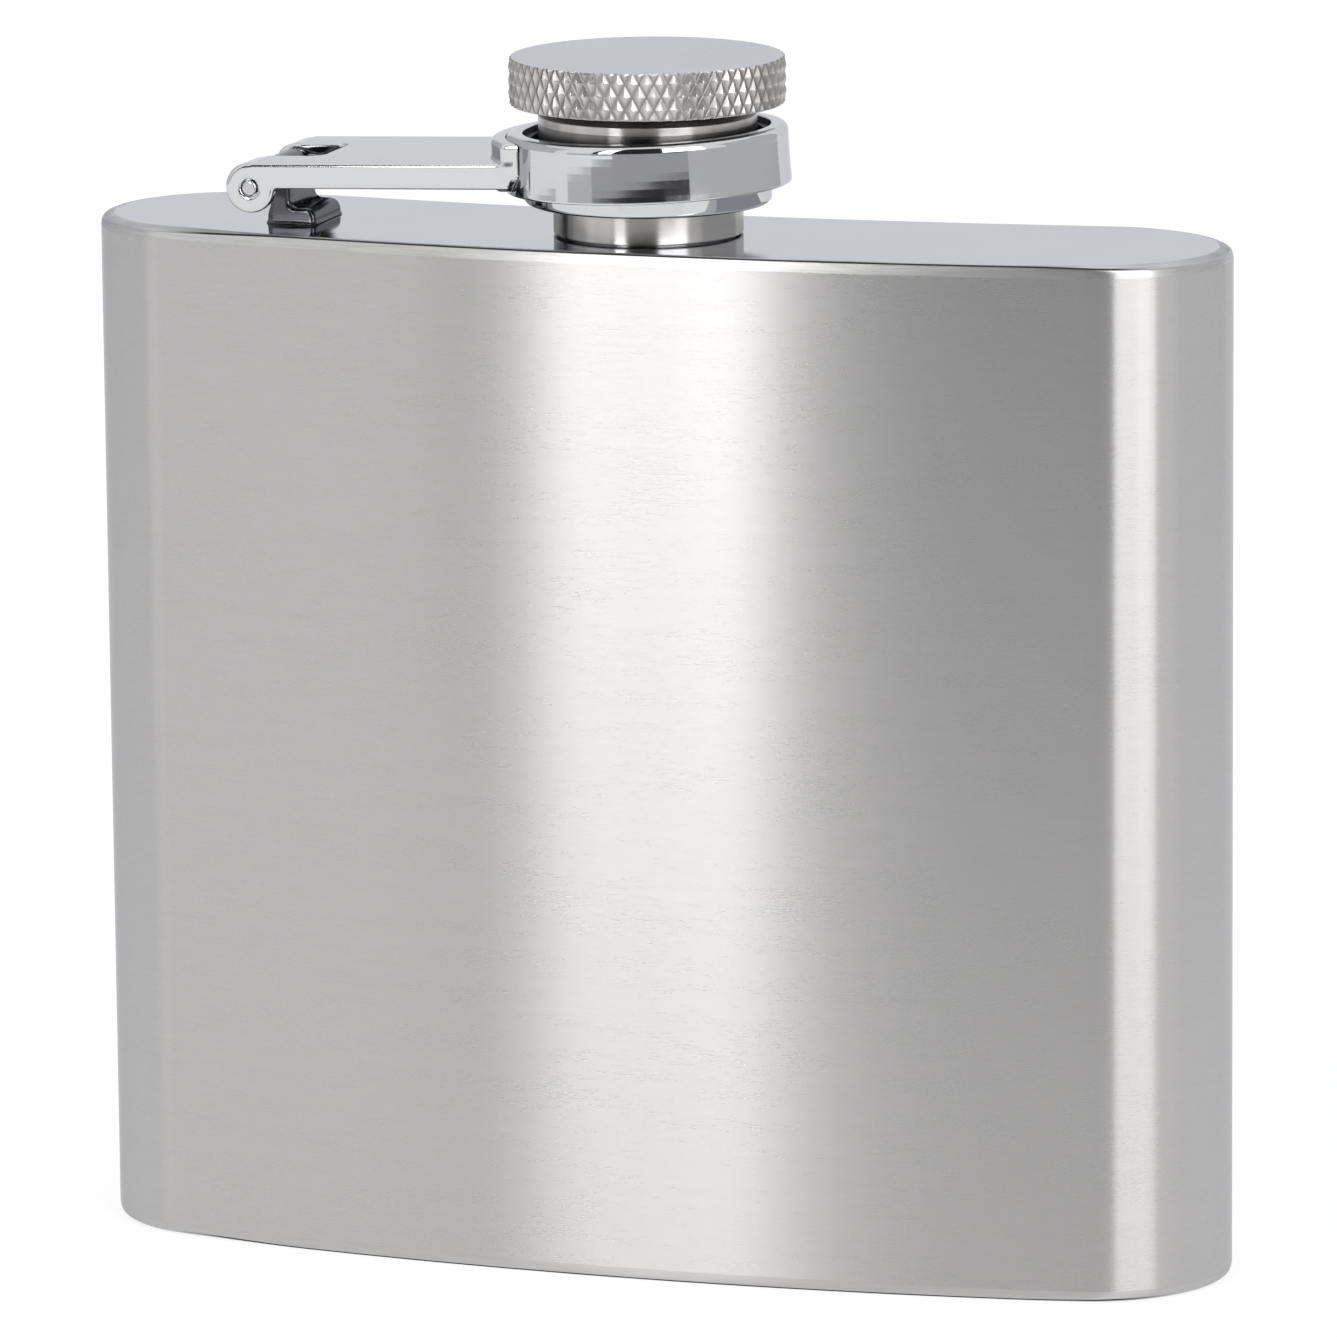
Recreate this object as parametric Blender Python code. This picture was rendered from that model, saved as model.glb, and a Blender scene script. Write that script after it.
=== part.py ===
"""Steel hip flask with a screw cap that a hinged arm keeps captive.

Metres, +Z up, front towards -Y. The origin is the centre of the base. The neck
and its cap stand a little forward of it, midway between the front and the back
on the centre line. Sheet-metal pieces that are welded together keep a hairline
apart, so each stays a solid of its own.
"""

import math

import bmesh
import bpy
from mathutils import Matrix, Vector

# Body: kidney section, bowed in front and hollowed behind to lie on a hip
WIDTH = 0.0950
THICKNESS = 0.0217  # front to back on the centre line
BODY_HEIGHT = 0.0840
FRONT_RADIUS = 0.2380
BACK_RADIUS = 0.2500
BODY_SHEET = 0.0007
EDGE_RADIUS = 0.0012  # rounded rim of the two pressed end plates
RIM_LAND = 0.0003  # straight rim of an end plate, below its rounding
WELD_GAP = 0.0001

# Neck: turned tube on the top plate, with a spigot through the plate's hole
NECK_RADIUS = 0.00765
NECK_WALL = 0.00135
NECK_HEIGHT = 0.0084
NECK_CHAMFER = 0.0003
SPIGOT_STEP = 0.0005
SPIGOT_DEPTH = 0.0009  # below the plate's underside
SPIGOT_CLEARANCE = 0.0002

# Screw cap: threaded skirt with a retaining flange, gasket and knurled head
THREAD_CLEARANCE = 0.00055  # neck to skirt, where the thread runs
SKIRT_STANDOFF = 0.0026  # skirt's lower edge above the top plate
SKIRT_WALL = 0.0006
SKIRT_WEB = 0.0016  # closed upper end
FLANGE_HEIGHT = 0.0017
FLANGE_REACH = 0.00125
FLANGE_CHAMFER = 0.0004
GASKET_THICKNESS = 0.0012
GASKET_CLEARANCE = 0.0003
SEAT_GAP = 0.0003  # above and below the gasket
HEAD_RADIUS = 0.01115  # over the crests of the knurl
HEAD_HEIGHT = 0.0038
HEAD_CHAMFER = 0.00025
SOCKET_DEPTH = 0.0013
SOCKET_CLEARANCE = 0.0001
KNURL_PITCH = 0.00116
KNURL_DEPTH = 0.00025
KNURL_TIERS = 3  # half diamonds, one above the other

# Collar: ring that traps the skirt between its inner lip and the head
COLLAR_HEIGHT = 0.0047
COLLAR_WALL = 0.00115
COLLAR_TAPER = 0.0002
COLLAR_LIP = 0.0008
COLLAR_COUNTERSINK = 0.0006
COLLAR_LOWER_ROUND = 0.0007
COLLAR_UPPER_ROUND = 0.0006
COLLAR_CLEARANCE = 0.0003  # flange to collar
LIP_CLEARANCE = 0.00050  # skirt to inner lip
FLANGE_SHOW = 0.0013  # flange seen below the collar

# Hinge: pressed channel arm, pin and welded bracket
PIN_REACH = 0.0313  # pin to neck axis
PIN_HEIGHT = 0.00355  # pin above the top plate
PIN_RADIUS = 0.00062
PIN_CLEARANCE = 0.00015
PIN_PROUD = 0.0001
PIN_CROWN = 0.0002
ARM_TILT = math.radians(2.0)  # the collar rides a little high on the flange
ARM_WIDTH = 0.0155
ARM_SHEET = 0.0010
ARM_FLANGE = 0.00215
ARM_BEND_RADIUS = 0.0005
EAR_RADIUS = 0.00205
NOTCH_DEPTH = 0.0047  # from the pin
NOTCH_CORNER = 0.0010
SADDLE_MARGIN = 0.00015  # saddle past the arm's flanges
SADDLE_INSET = 0.0003  # saddle below the collar's upper edge
KNUCKLE_WIDTH = 0.0064
KNUCKLE_CLEARANCE = 0.0003
BARREL_RADIUS = 0.0017
POST_NEAR = 0.0002  # bracket's post, from the pin towards the neck
POST_FAR = 0.0034
POST_ROUND = 0.0011
FOOT_REACH = 0.0065
FOOT_THICKNESS = 0.00125
FOOT_FILLET = 0.0007

# Facets
FRONT_STEPS = 16
BACK_STEPS = 12
SIDE_STEPS = 14
TURN_STEPS = 48
PIN_STEPS = 16
ROUND_STEPS = 4
SADDLE_STEPS = 10

# Places that several pieces share
TOP = BODY_HEIGHT
NECK_RIM = TOP + NECK_HEIGHT
NECK_BORE = NECK_RADIUS - NECK_WALL
SPIGOT_RADIUS = NECK_RADIUS - SPIGOT_STEP
SKIRT_BORE = NECK_RADIUS + THREAD_CLEARANCE
SKIRT_RADIUS = SKIRT_BORE + SKIRT_WALL
SKIRT_BOTTOM = TOP + SKIRT_STANDOFF
FLANGE_RADIUS = SKIRT_RADIUS + FLANGE_REACH
GASKET_BOTTOM = NECK_RIM + SEAT_GAP
SKIRT_CEILING = GASKET_BOTTOM + GASKET_THICKNESS + SEAT_GAP
SKIRT_TOP = SKIRT_CEILING + SKIRT_WEB
HEAD_BOTTOM = SKIRT_TOP + SOCKET_CLEARANCE - SOCKET_DEPTH
COLLAR_BOTTOM = SKIRT_BOTTOM + FLANGE_SHOW
COLLAR_RECESS = FLANGE_RADIUS + COLLAR_CLEARANCE
COLLAR_RADIUS = COLLAR_RECESS + COLLAR_WALL

STEEL = (0.56, 0.56, 0.55)
BRIGHT_STEEL = (0.66, 0.67, 0.68)
CHROME = (0.74, 0.75, 0.77)
SEAL_WHITE = (0.78, 0.77, 0.73)


def material(name, colour, roughness, metallic):
    made = bpy.data.materials.new(name)
    made.use_nodes = True
    shader = made.node_tree.nodes["Principled BSDF"]
    shader.inputs["Base Color"].default_value = (*colour, 1.0)
    shader.inputs["Roughness"].default_value = roughness
    shader.inputs["Metallic"].default_value = metallic
    return made


def link(obj, parent=None, location=(0, 0, 0), rotation=(0, 0, 0)):
    bpy.context.scene.collection.objects.link(obj)
    obj.parent = parent
    obj.location = location
    obj.rotation_euler = rotation
    return obj


def pivot(name, location, rotation=(0, 0, 0)):
    return link(bpy.data.objects.new(name, None), None, location, rotation)


def solid(name, bm, look=None, **place):
    """An object of the finished bmesh; without a look it is a cutter or a piece to be joined."""
    bmesh.ops.recalc_face_normals(bm, faces=bm.faces)
    mesh = bpy.data.meshes.new(name)
    bm.to_mesh(mesh)
    bm.free()
    mesh.shade_smooth()
    mesh.set_sharp_from_angle(angle=math.radians(30))
    obj = link(bpy.data.objects.new(name, mesh), **place)
    if look:
        mesh.materials.append(look)
    else:
        obj.hide_render = True
        obj.display_type = "WIRE"
    return obj


def combine(target, tool, operation="DIFFERENCE"):
    modifier = target.modifiers.new(f"{operation.lower()} {tool.name}", "BOOLEAN")
    modifier.operation = operation
    modifier.solver = "EXACT"
    modifier.object = tool


def rounded(corners, steps=ROUND_STEPS):
    """The 2D outline through (u, v, radius) corners, with an arc where the radius isn't zero."""
    points = []
    for i, (u, v, radius) in enumerate(corners):
        here = Vector((u, v))
        if not radius:
            points.append(here)
            continue
        back = (Vector(corners[i - 1][:2]) - here).normalized()
        on = (Vector(corners[(i + 1) % len(corners)][:2]) - here).normalized()
        half = back.angle(on) / 2
        centre = here + (back + on).normalized() * radius / math.sin(half)
        first = here + back * radius / math.tan(half) - centre
        turn = first.angle_signed(here + on * radius / math.tan(half) - centre)
        points += [
            centre + Matrix.Rotation(-turn * k / steps, 2) @ first for k in range(steps + 1)
        ]
    return points


def extruded(name, outline, depth, look=None, upright=False, **place):
    """A 2D outline pushed out by half the depth to both sides of its plane: XZ, or XY when upright."""
    bm = bmesh.new()
    plane = (lambda p: (p.x, p.y, -depth / 2)) if upright else (lambda p: (p.x, -depth / 2, p.y))
    face = bm.faces.new([bm.verts.new(plane(p)) for p in outline])
    pushed = bmesh.ops.extrude_face_region(bm, geom=[face])["geom"]
    corners = [item for item in pushed if isinstance(item, bmesh.types.BMVert)]
    way = Vector((0, 0, depth)) if upright else Vector((0, depth, 0))
    bmesh.ops.translate(bm, vec=way, verts=corners)
    return solid(name, bm, look, **place)


def turned(name, profile, look=None, steps=TURN_STEPS, **place):
    """A solid of revolution about Z from (radius, height) points; a profile that ends on the axis stays open there."""
    bm = bmesh.new()
    verts = [bm.verts.new((point[0], 0, point[1])) for point in profile]
    ends = zip(verts, verts[1:])
    edges = [bm.edges.new(pair) for pair in ends]
    if profile[0][0] > 0:
        edges.append(bm.edges.new((verts[-1], verts[0])))
    bmesh.ops.spin(
        bm, geom=verts + edges, axis=(0, 0, 1), cent=(0, 0, 0), angle=math.tau, steps=steps
    )
    bmesh.ops.remove_doubles(bm, verts=bm.verts, dist=1e-6)
    return solid(name, bm, look, **place)


def lofted(name, rings, look, closed=False, diagonals=None, **place):
    """A skin over rings of equally many points: joined end to end when closed, or with its end rings filled."""
    bm = bmesh.new()
    loops = [[bm.verts.new(point) for point in ring] for ring in rings]
    spans = list(zip(loops, loops[1:] + loops[:1]))
    for j, (low, high) in enumerate(spans if closed else spans[:-1]):
        for i in range(len(low)):
            k = (i + 1) % len(low)
            if diagonals and diagonals(i, j):
                bm.faces.new((low[i], low[k], high[k]))
                bm.faces.new((low[i], high[k], high[i]))
            elif diagonals:
                bm.faces.new((low[i], low[k], high[i]))
                bm.faces.new((low[k], high[k], high[i]))
            else:
                bm.faces.new((low[i], low[k], high[k], high[i]))
    if not closed:
        bm.faces.new(loops[0])
        bm.faces.new(loops[-1])
    return solid(name, bm, look, **place)


def side_circle():
    """Centre and radius of the round end that touches the front bow, the back hollow and the full width."""
    front, back = FRONT_RADIUS - THICKNESS / 2, BACK_RADIUS + THICKNESS / 2

    def placed(radius):
        x = WIDTH / 2 - radius
        return Vector((x, front - math.sqrt((FRONT_RADIUS - radius) ** 2 - x**2)))

    low, high = 0.0, WIDTH / 2
    for _ in range(60):
        radius = (low + high) / 2
        outside = (placed(radius) - Vector((0, back))).length > BACK_RADIUS + radius
        low, high = (radius, high) if outside else (low, radius)
    return placed(radius), radius


def neck_axis(height):
    """A point on the neck's axis, midway through the thickness, measured from the middle of the whole box."""
    centre, radius = side_circle()
    front = max(THICKNESS / 2, COLLAR_RADIUS)
    back = max(centre.y + radius, COLLAR_RADIUS)
    return Vector((0, (front - back) / 2, height))


def section(inset):
    """The kidney outline, moved inwards by the inset, its thickness halved by the neck's axis."""
    centre, radius = side_circle()
    front = Vector((0, FRONT_RADIUS - THICKNESS / 2))
    back = Vector((0, BACK_RADIUS + THICKNESS / 2))
    to_front, to_back = (centre - front).normalized(), (back - centre).normalized()
    start, end = math.atan2(to_front.y, to_front.x), math.atan2(to_back.y, to_back.x)

    def arc(middle, size, first, last, steps):
        angles = [first + (last - first) * k / steps for k in range(steps)]
        return [middle + size * Vector((math.cos(a), math.sin(a))) for a in angles]

    half, other = SIDE_STEPS // 2, Vector((-centre.x, centre.y))
    side = arc(centre, radius - inset, start, 0, half) + arc(centre, radius - inset, 0, end, half)
    left = arc(other, radius - inset, math.pi - end, math.pi, half)
    left += arc(other, radius - inset, math.pi, math.pi - start, half)
    outline = arc(front, FRONT_RADIUS - inset, -math.pi - start, start, FRONT_STEPS) + side
    outline += arc(back, BACK_RADIUS + inset, end - math.pi, -end, BACK_STEPS) + left
    shift = neck_axis(0).xy
    return [point + shift for point in outline]


def end_plate(name, face, inwards, look):
    """A pressed end plate with a rounded rim, its flat outer face at this height."""
    inner = EDGE_RADIUS - BODY_SHEET
    turns = [math.pi / 2 * k / ROUND_STEPS for k in range(ROUND_STEPS + 1)]
    rim = EDGE_RADIUS + RIM_LAND
    levels = [(EDGE_RADIUS * (1 - math.sin(a)), EDGE_RADIUS * (1 - math.cos(a))) for a in turns]
    levels += [(0, rim), (BODY_SHEET, rim)]
    levels += [
        (EDGE_RADIUS - inner * math.sin(a), EDGE_RADIUS - inner * math.cos(a))
        for a in reversed(turns)
    ]
    rings = [
        [(point.x, point.y, inwards * depth) for point in section(inset)]
        for inset, depth in levels
    ]
    return lofted(name, rings, look, location=(0, 0, face))


def body(steel, bright):
    rim = EDGE_RADIUS + RIM_LAND + WELD_GAP
    rings = [
        [(point.x, point.y, height) for point in section(inset)]
        for inset, height in ((0, rim), (0, TOP - rim), (BODY_SHEET, TOP - rim), (BODY_SHEET, rim))
    ]
    lofted("body_sleeve", rings, steel, closed=True)
    end_plate("bottom_plate", 0, 1, bright)
    plate = end_plate("top_plate", TOP, -1, bright)

    hole = SPIGOT_RADIUS + SPIGOT_CLEARANCE
    drill = [(0, 2 * BODY_SHEET), (hole, 2 * BODY_SHEET), (hole, -4 * BODY_SHEET), (0, -4 * BODY_SHEET)]
    combine(plate, turned("neck_hole", drill, location=neck_axis(TOP)))


def neck(bright):
    foot = -BODY_SHEET - SPIGOT_DEPTH
    profile = [
        (NECK_BORE, foot),
        (SPIGOT_RADIUS, foot),
        (SPIGOT_RADIUS, WELD_GAP),
        (NECK_RADIUS, WELD_GAP),
        (NECK_RADIUS, NECK_HEIGHT - NECK_CHAMFER),
        (NECK_RADIUS - NECK_CHAMFER, NECK_HEIGHT),
        (NECK_BORE + NECK_CHAMFER, NECK_HEIGHT),
        (NECK_BORE, NECK_HEIGHT - NECK_CHAMFER),
    ]
    turned("neck", profile, bright, location=neck_axis(TOP))


def cap(bright, seal):
    axis = pivot("cap_axis", neck_axis(SKIRT_BOTTOM))
    ceiling, top = SKIRT_CEILING - SKIRT_BOTTOM, SKIRT_TOP - SKIRT_BOTTOM
    skirt = [
        (0, ceiling),
        (SKIRT_BORE, ceiling),
        (SKIRT_BORE, 0),
        (FLANGE_RADIUS - FLANGE_CHAMFER, 0),
        (FLANGE_RADIUS, FLANGE_CHAMFER),
        (FLANGE_RADIUS, FLANGE_HEIGHT),
        (SKIRT_RADIUS, FLANGE_HEIGHT),
        (SKIRT_RADIUS, top),
        (0, top),
    ]
    turned("cap_skirt", skirt, bright, parent=axis)

    low = GASKET_BOTTOM - SKIRT_BOTTOM
    edge = SKIRT_BORE - GASKET_CLEARANCE
    disc = [(0, low), (edge, low), (edge, low + GASKET_THICKNESS), (0, low + GASKET_THICKNESS)]
    turned("cap_gasket", disc, seal, parent=axis)
    knurled_head(axis, bright)


def knurled_head(axis, look):
    """Diamond knurl: crests and valley crossings alternate on a grid of half pitches."""
    columns = 2 * round(math.tau * HEAD_RADIUS / KNURL_PITCH)
    rows = max(2, round(KNURL_TIERS))
    bottom = HEAD_BOTTOM - SKIRT_BOTTOM
    top = bottom + HEAD_HEIGHT
    socket = SKIRT_RADIUS + SOCKET_CLEARANCE
    root = HEAD_RADIUS - KNURL_DEPTH
    band = HEAD_HEIGHT - 2 * HEAD_CHAMFER

    def ring(height, radius_of):
        turns = [math.tau * i / columns for i in range(columns)]
        return [
            (radius_of(i) * math.cos(a), radius_of(i) * math.sin(a), height)
            for i, a in enumerate(turns)
        ]

    rings = [ring(bottom + SOCKET_DEPTH, lambda i: socket), ring(bottom, lambda i: socket)]
    rings.append(ring(bottom, lambda i: root - HEAD_CHAMFER))
    first = len(rings)
    for j in range(rows + 1):
        height = bottom + HEAD_CHAMFER + band * j / rows
        rings.append(ring(height, lambda i: HEAD_RADIUS if (i + j) % 2 == 0 else root))
    rings.append(ring(top, lambda i: root - HEAD_CHAMFER))
    valleys_rise = lambda i, j: (i + j - first) % 2 == 1
    lofted("cap_head", rings, look, diagonals=valleys_rise, parent=axis)


def hinge(chrome, bright):
    centre = neck_axis(TOP + PIN_HEIGHT) - Vector((PIN_REACH, 0, 0))
    barrel, base = BARREL_RADIUS, WELD_GAP - PIN_HEIGHT
    outline = rounded(
        [
            (-barrel, barrel, barrel),
            (-barrel, -barrel, barrel),
            (POST_NEAR, -barrel, 0),
            (POST_NEAR, base, 0),
            (FOOT_REACH, base, 0),
            (FOOT_REACH, base + FOOT_THICKNESS, FOOT_THICKNESS / 2),
            (POST_FAR, base + FOOT_THICKNESS, FOOT_FILLET),
            (POST_FAR, barrel, POST_ROUND),
        ]
    )
    bracket = extruded("hinge_bracket", outline, KNUCKLE_WIDTH, bright, location=centre)

    across = (math.pi / 2, 0, 0)
    bore = PIN_RADIUS + PIN_CLEARANCE
    drill = [(0, ARM_WIDTH), (bore, ARM_WIDTH), (bore, -ARM_WIDTH), (0, -ARM_WIDTH)]
    pin_hole = turned("pin_hole", drill, steps=PIN_STEPS, location=centre, rotation=across)
    combine(bracket, pin_hole)

    end = ARM_WIDTH / 2 + PIN_PROUD
    crown = PIN_RADIUS - PIN_CROWN
    pin = [(0, end), (crown, end), (PIN_RADIUS, end - PIN_CROWN)]
    pin += [(PIN_RADIUS, PIN_CROWN - end), (crown, -end), (0, -end)]
    turned("hinge_pin", pin, bright, steps=PIN_STEPS, location=centre, rotation=across)

    swing = pivot("arm_pivot", centre, (0, -ARM_TILT, 0))
    middle = neck_axis(COLLAR_BOTTOM + COLLAR_HEIGHT / 2) - centre
    middle = Matrix.Rotation(ARM_TILT, 3, "Y") @ middle
    collar(swing, middle, chrome)
    arm(swing, middle, pin_hole, chrome)


def collar(swing, middle, look):
    lip = SKIRT_RADIUS + LIP_CLEARANCE
    profile = rounded(
        [
            (COLLAR_RECESS, 0, 0),
            (COLLAR_RADIUS, 0, COLLAR_LOWER_ROUND),
            (COLLAR_RADIUS - COLLAR_TAPER, COLLAR_HEIGHT, COLLAR_UPPER_ROUND),
            (lip + COLLAR_COUNTERSINK, COLLAR_HEIGHT, 0),
            (lip, COLLAR_HEIGHT - COLLAR_COUNTERSINK, 0),
            (lip, COLLAR_HEIGHT - COLLAR_LIP, 0),
            (COLLAR_RECESS, COLLAR_HEIGHT - COLLAR_LIP, 0),
        ]
    )
    place = middle - Vector((0, 0, COLLAR_HEIGHT / 2))
    turned("collar", profile, look, parent=swing, location=place)


def arm(swing, middle, pin_hole, look):
    """A channel pressed from sheet: eared at the pin, notched round the knuckle, with a saddle on the collar."""
    ear = EAR_RADIUS
    inner = COLLAR_RADIUS + WELD_GAP
    outer = inner + ARM_SHEET
    outline = rounded(
        [
            (-ear, ear, ear),
            (-ear, -ear, ear),
            (ear, -ear, min(ear, 2 * ear - ARM_FLANGE)),
            (ear, ear - ARM_FLANGE, 0),
            (middle.x, ear - ARM_FLANGE, 0),
            (middle.x, ear, 0),
        ],
        2 * ROUND_STEPS,
    )
    channel = extruded("hinge_arm", outline, ARM_WIDTH, look, parent=swing)
    round_bends(channel)

    inside = ARM_WIDTH / 2 - ARM_SHEET
    notch = KNUCKLE_WIDTH / 2 + KNUCKLE_CLEARANCE
    far, roof = middle.x + outer, ear - ARM_SHEET
    hollow = [Vector(p) for p in ((-far, -far), (far, -far), (far, roof), (-far, roof))]
    combine(channel, extruded("arm_hollow", hollow, 2 * inside, parent=swing))
    slot = rounded(
        [
            (-far, -notch, 0),
            (NOTCH_DEPTH, -notch, NOTCH_CORNER),
            (NOTCH_DEPTH, notch, NOTCH_CORNER),
            (-far, notch, 0),
        ]
    )
    combine(channel, extruded("arm_notch", slot, 4 * ear, upright=True, parent=swing))
    combine(channel, pin_hole)

    reach = (inner + outer) / 2
    drill = [(0, far), (reach, far), (reach, -far), (0, -far)]
    combine(channel, turned("arm_end", drill, parent=swing, location=middle))

    half = math.asin((ARM_WIDTH / 2 + SADDLE_MARGIN) / reach)
    turns = [math.pi - half + 2 * half * k / SADDLE_STEPS for k in range(SADDLE_STEPS + 1)]
    plan = [inner * Vector((math.cos(a), math.sin(a))) for a in turns]
    plan += [outer * Vector((math.cos(a), math.sin(a))) for a in reversed(turns)]
    height = COLLAR_HEIGHT - 2 * SADDLE_INSET
    saddle = extruded("arm_saddle", plan, height, upright=True, parent=swing, location=middle)
    combine(channel, saddle, "UNION")


def round_bends(channel):
    """Rounds the two long edges where the channel's flanges bend down."""
    bm = bmesh.new()
    bm.from_mesh(channel.data)
    sides = [face for face in bm.faces if abs(face.normal.y) > 0.5]
    roof = max(bm.faces, key=lambda face: face.calc_area() * (face.normal.z > 0.9))
    bends = [edge for face in sides for edge in face.edges if edge in roof.edges[:]]
    bmesh.ops.bevel(bm, geom=bends, offset=ARM_BEND_RADIUS, segments=2, affect="EDGES", profile=0.5)
    bm.to_mesh(channel.data)
    bm.free()


def main():
    for obj in list(bpy.data.objects):
        bpy.data.objects.remove(obj)
    steel = material("brushed_steel", STEEL, 0.32, 1.0)
    bright = material("polished_steel", BRIGHT_STEEL, 0.18, 1.0)
    chrome = material("chrome", CHROME, 0.06, 1.0)
    seal = material("seal", SEAL_WHITE, 0.5, 0.0)
    body(steel, bright)
    neck(bright)
    cap(bright, seal)
    hinge(chrome, bright)


main()
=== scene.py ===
"""Looks of a steel hip flask with a captive screw cap, laid out as an add-on and run as a script.

Every piece is a surface worked out with numpy, in metres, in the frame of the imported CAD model.
"""

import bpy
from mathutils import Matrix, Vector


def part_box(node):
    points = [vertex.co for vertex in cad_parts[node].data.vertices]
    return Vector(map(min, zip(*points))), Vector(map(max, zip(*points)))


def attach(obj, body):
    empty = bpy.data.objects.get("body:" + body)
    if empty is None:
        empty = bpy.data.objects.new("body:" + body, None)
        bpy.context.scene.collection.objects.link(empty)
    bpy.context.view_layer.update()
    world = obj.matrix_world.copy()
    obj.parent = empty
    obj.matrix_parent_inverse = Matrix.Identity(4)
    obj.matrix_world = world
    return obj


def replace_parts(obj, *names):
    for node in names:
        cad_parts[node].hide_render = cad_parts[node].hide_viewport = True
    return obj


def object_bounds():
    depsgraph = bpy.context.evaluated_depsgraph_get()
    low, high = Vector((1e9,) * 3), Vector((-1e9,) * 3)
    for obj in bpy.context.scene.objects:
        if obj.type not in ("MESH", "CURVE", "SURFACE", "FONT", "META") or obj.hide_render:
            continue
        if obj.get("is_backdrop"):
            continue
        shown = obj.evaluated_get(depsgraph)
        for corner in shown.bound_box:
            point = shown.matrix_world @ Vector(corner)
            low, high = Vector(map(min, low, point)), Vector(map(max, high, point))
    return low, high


bl_info = {
    "name": "Hip Flask",
    "version": (1, 0, 0),
    "blender": (4, 5, 0),
    "location": "View3D > Sidebar > Hip Flask",
    "description": "Builds a hip flask with a captive screw cap, and its studio",
    "category": "Add Mesh",
}

import bmesh
import bpy
import numpy as np
from bpy.props import FloatProperty, FloatVectorProperty, IntProperty, PointerProperty
from mathutils import Matrix, Vector

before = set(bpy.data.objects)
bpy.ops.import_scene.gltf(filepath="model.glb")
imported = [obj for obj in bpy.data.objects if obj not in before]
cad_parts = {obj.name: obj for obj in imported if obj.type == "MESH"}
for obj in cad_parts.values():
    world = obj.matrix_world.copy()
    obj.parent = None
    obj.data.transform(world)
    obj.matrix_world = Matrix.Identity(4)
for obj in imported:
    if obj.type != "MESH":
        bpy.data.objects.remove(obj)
CAD_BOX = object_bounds()
PLATE_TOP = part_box("top_plate")[1].z
PIN_AXIS = sum(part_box("hinge_pin"), Vector()) / 2
SKIRT_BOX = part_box("cap_skirt")
HEAD_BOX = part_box("cap_head")
SEAL_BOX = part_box("cap_gasket")
NECK_AXIS = np.array(sum(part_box("neck"), Vector()) / 2) * (1, 1, 0)

MM = 0.001
TOUCH = 1e-7  # lengths that differ by less are the same
ROUND = 180  # points round a threaded piece
PIN_CLEARANCE = 0.00012  # between the pin and the holes that it runs in
COLLAR_GAP = 0.00003  # between the collar and the saddle of the arm

# Rim of an end plate from its flat outwards: (inset from the outline, depth under the face) in mm.
RIM_SHOULDER = (
    (1.10, 0),
    (1.00, 0.003),
    (0.85, 0.02),
    (0.68, 0.055),
    (0.52, 0.11),
    (0.38, 0.18),
    (0.31, 0.23),
)
RIM_WELD = ((0.29, 0.25), (0.27, 0.35), (0.20, 0.37))
RIM_BAND = ((0.16, 0.37), (0.13, 0.41), (0.10, 0.49), (0.06, 0.62), (0.03, 0.78), (0.01, 0.90))
# The weld line, dark partly from the weld and partly as painted shade in its crevice, runs close
# under the face, and its dark colour fades out round the ends of the flask. Both change with the
# distance from a middle that lies a little to the right.
WELD_MIDDLE = 0.003
WELD_FADE = (0.0380, 0.0430)
WELD_RISE, RISE_END, RISE_RUN = 0.8, 0.042, 0.012

SOFTBOX_LOW, SOFTBOX_HEIGHT = 0.10, 0.95
MAT_HEIGHT = 0.0005


def length(name, description, default):
    """A length in metres, as a property."""
    return FloatProperty(
        name=name, description=description, default=default, unit="LENGTH", precision=5
    )


def angle(name, description, degrees):
    """An angle, given in degrees, as a property."""
    return FloatProperty(
        name=name, description=description, default=np.radians(degrees), subtype="ANGLE"
    )


def colour(name, description, default):
    """A colour, as a property."""
    return FloatVectorProperty(
        name=name, description=description, default=default, subtype="COLOR", min=0, max=1
    )


class FlaskBody(bpy.types.PropertyGroup):
    """Sizes of the body and the neck."""

    width: length("Width", "Body from side to side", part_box("body_sleeve")[1].x * 2)
    thickness: length("Thickness", "Body from front to back on its centre line", 0.0217)
    front_radius: length("Front radius", "Bow of the front", 0.238)
    back_radius: length("Back radius", "Hollow of the back", 0.250)
    sheet: length("Sheet", "Thickness of the sheet metal", 0.0007)
    rim_height: length("Rim height", "Rim of an end plate, from its face to the sleeve", 0.00097)
    seam: length("Seam", "Width of the welded seam between sleeve and end plate", 0.000002)
    neck_radius: length("Neck radius", "Outside of the neck and its thread", 0.00765)
    neck_bore: length("Neck bore", "Inside of the neck", 0.0063)
    thread_pitch: length("Thread pitch", "Rise of the thread in one turn", 0.0013)
    thread_depth: length("Thread depth", "Depth of the neck's thread", 0.0005)


class FlaskCap(bpy.types.PropertyGroup):
    """Sizes of the screw cap and its collar."""

    head_radius: length("Head radius", "Knurled head over its crests", HEAD_BOX[1].x)
    knurl_count: IntProperty(
        name="Knurl count", description="Diamonds round the head", default=60, min=12
    )
    knurl_height: length("Knurl height", "One diamond from tip to tip", 0.0021)
    knurl_depth: length("Knurl depth", "Depth of the knurl's grooves", 0.00025)
    head_edge: length("Head edge", "Rounding of the head's edges", 0.00022)
    skirt_radius: length("Skirt radius", "Outside of the skirt", 0.0088)
    skirt_bore: length("Skirt bore", "Inside of the skirt", 0.0082)
    flange_radius: length("Flange radius", "Flange that keeps the cap in its collar", 0.01005)
    collar_radius: length("Collar radius", "Collar at its widest edge", 0.0115)
    collar_height: length("Collar height", "Collar from its widest edge to its top", 0.0047)
    collar_lip: length("Collar lip", "Inside of the collar's lip", 0.0093)
    collar_bottom: length("Collar bottom", "Widest edge of the collar on its axis", 0.0879)
    collar_taper: length("Collar taper", "Collar's widest radius less that at its top", 0.00015)


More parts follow.
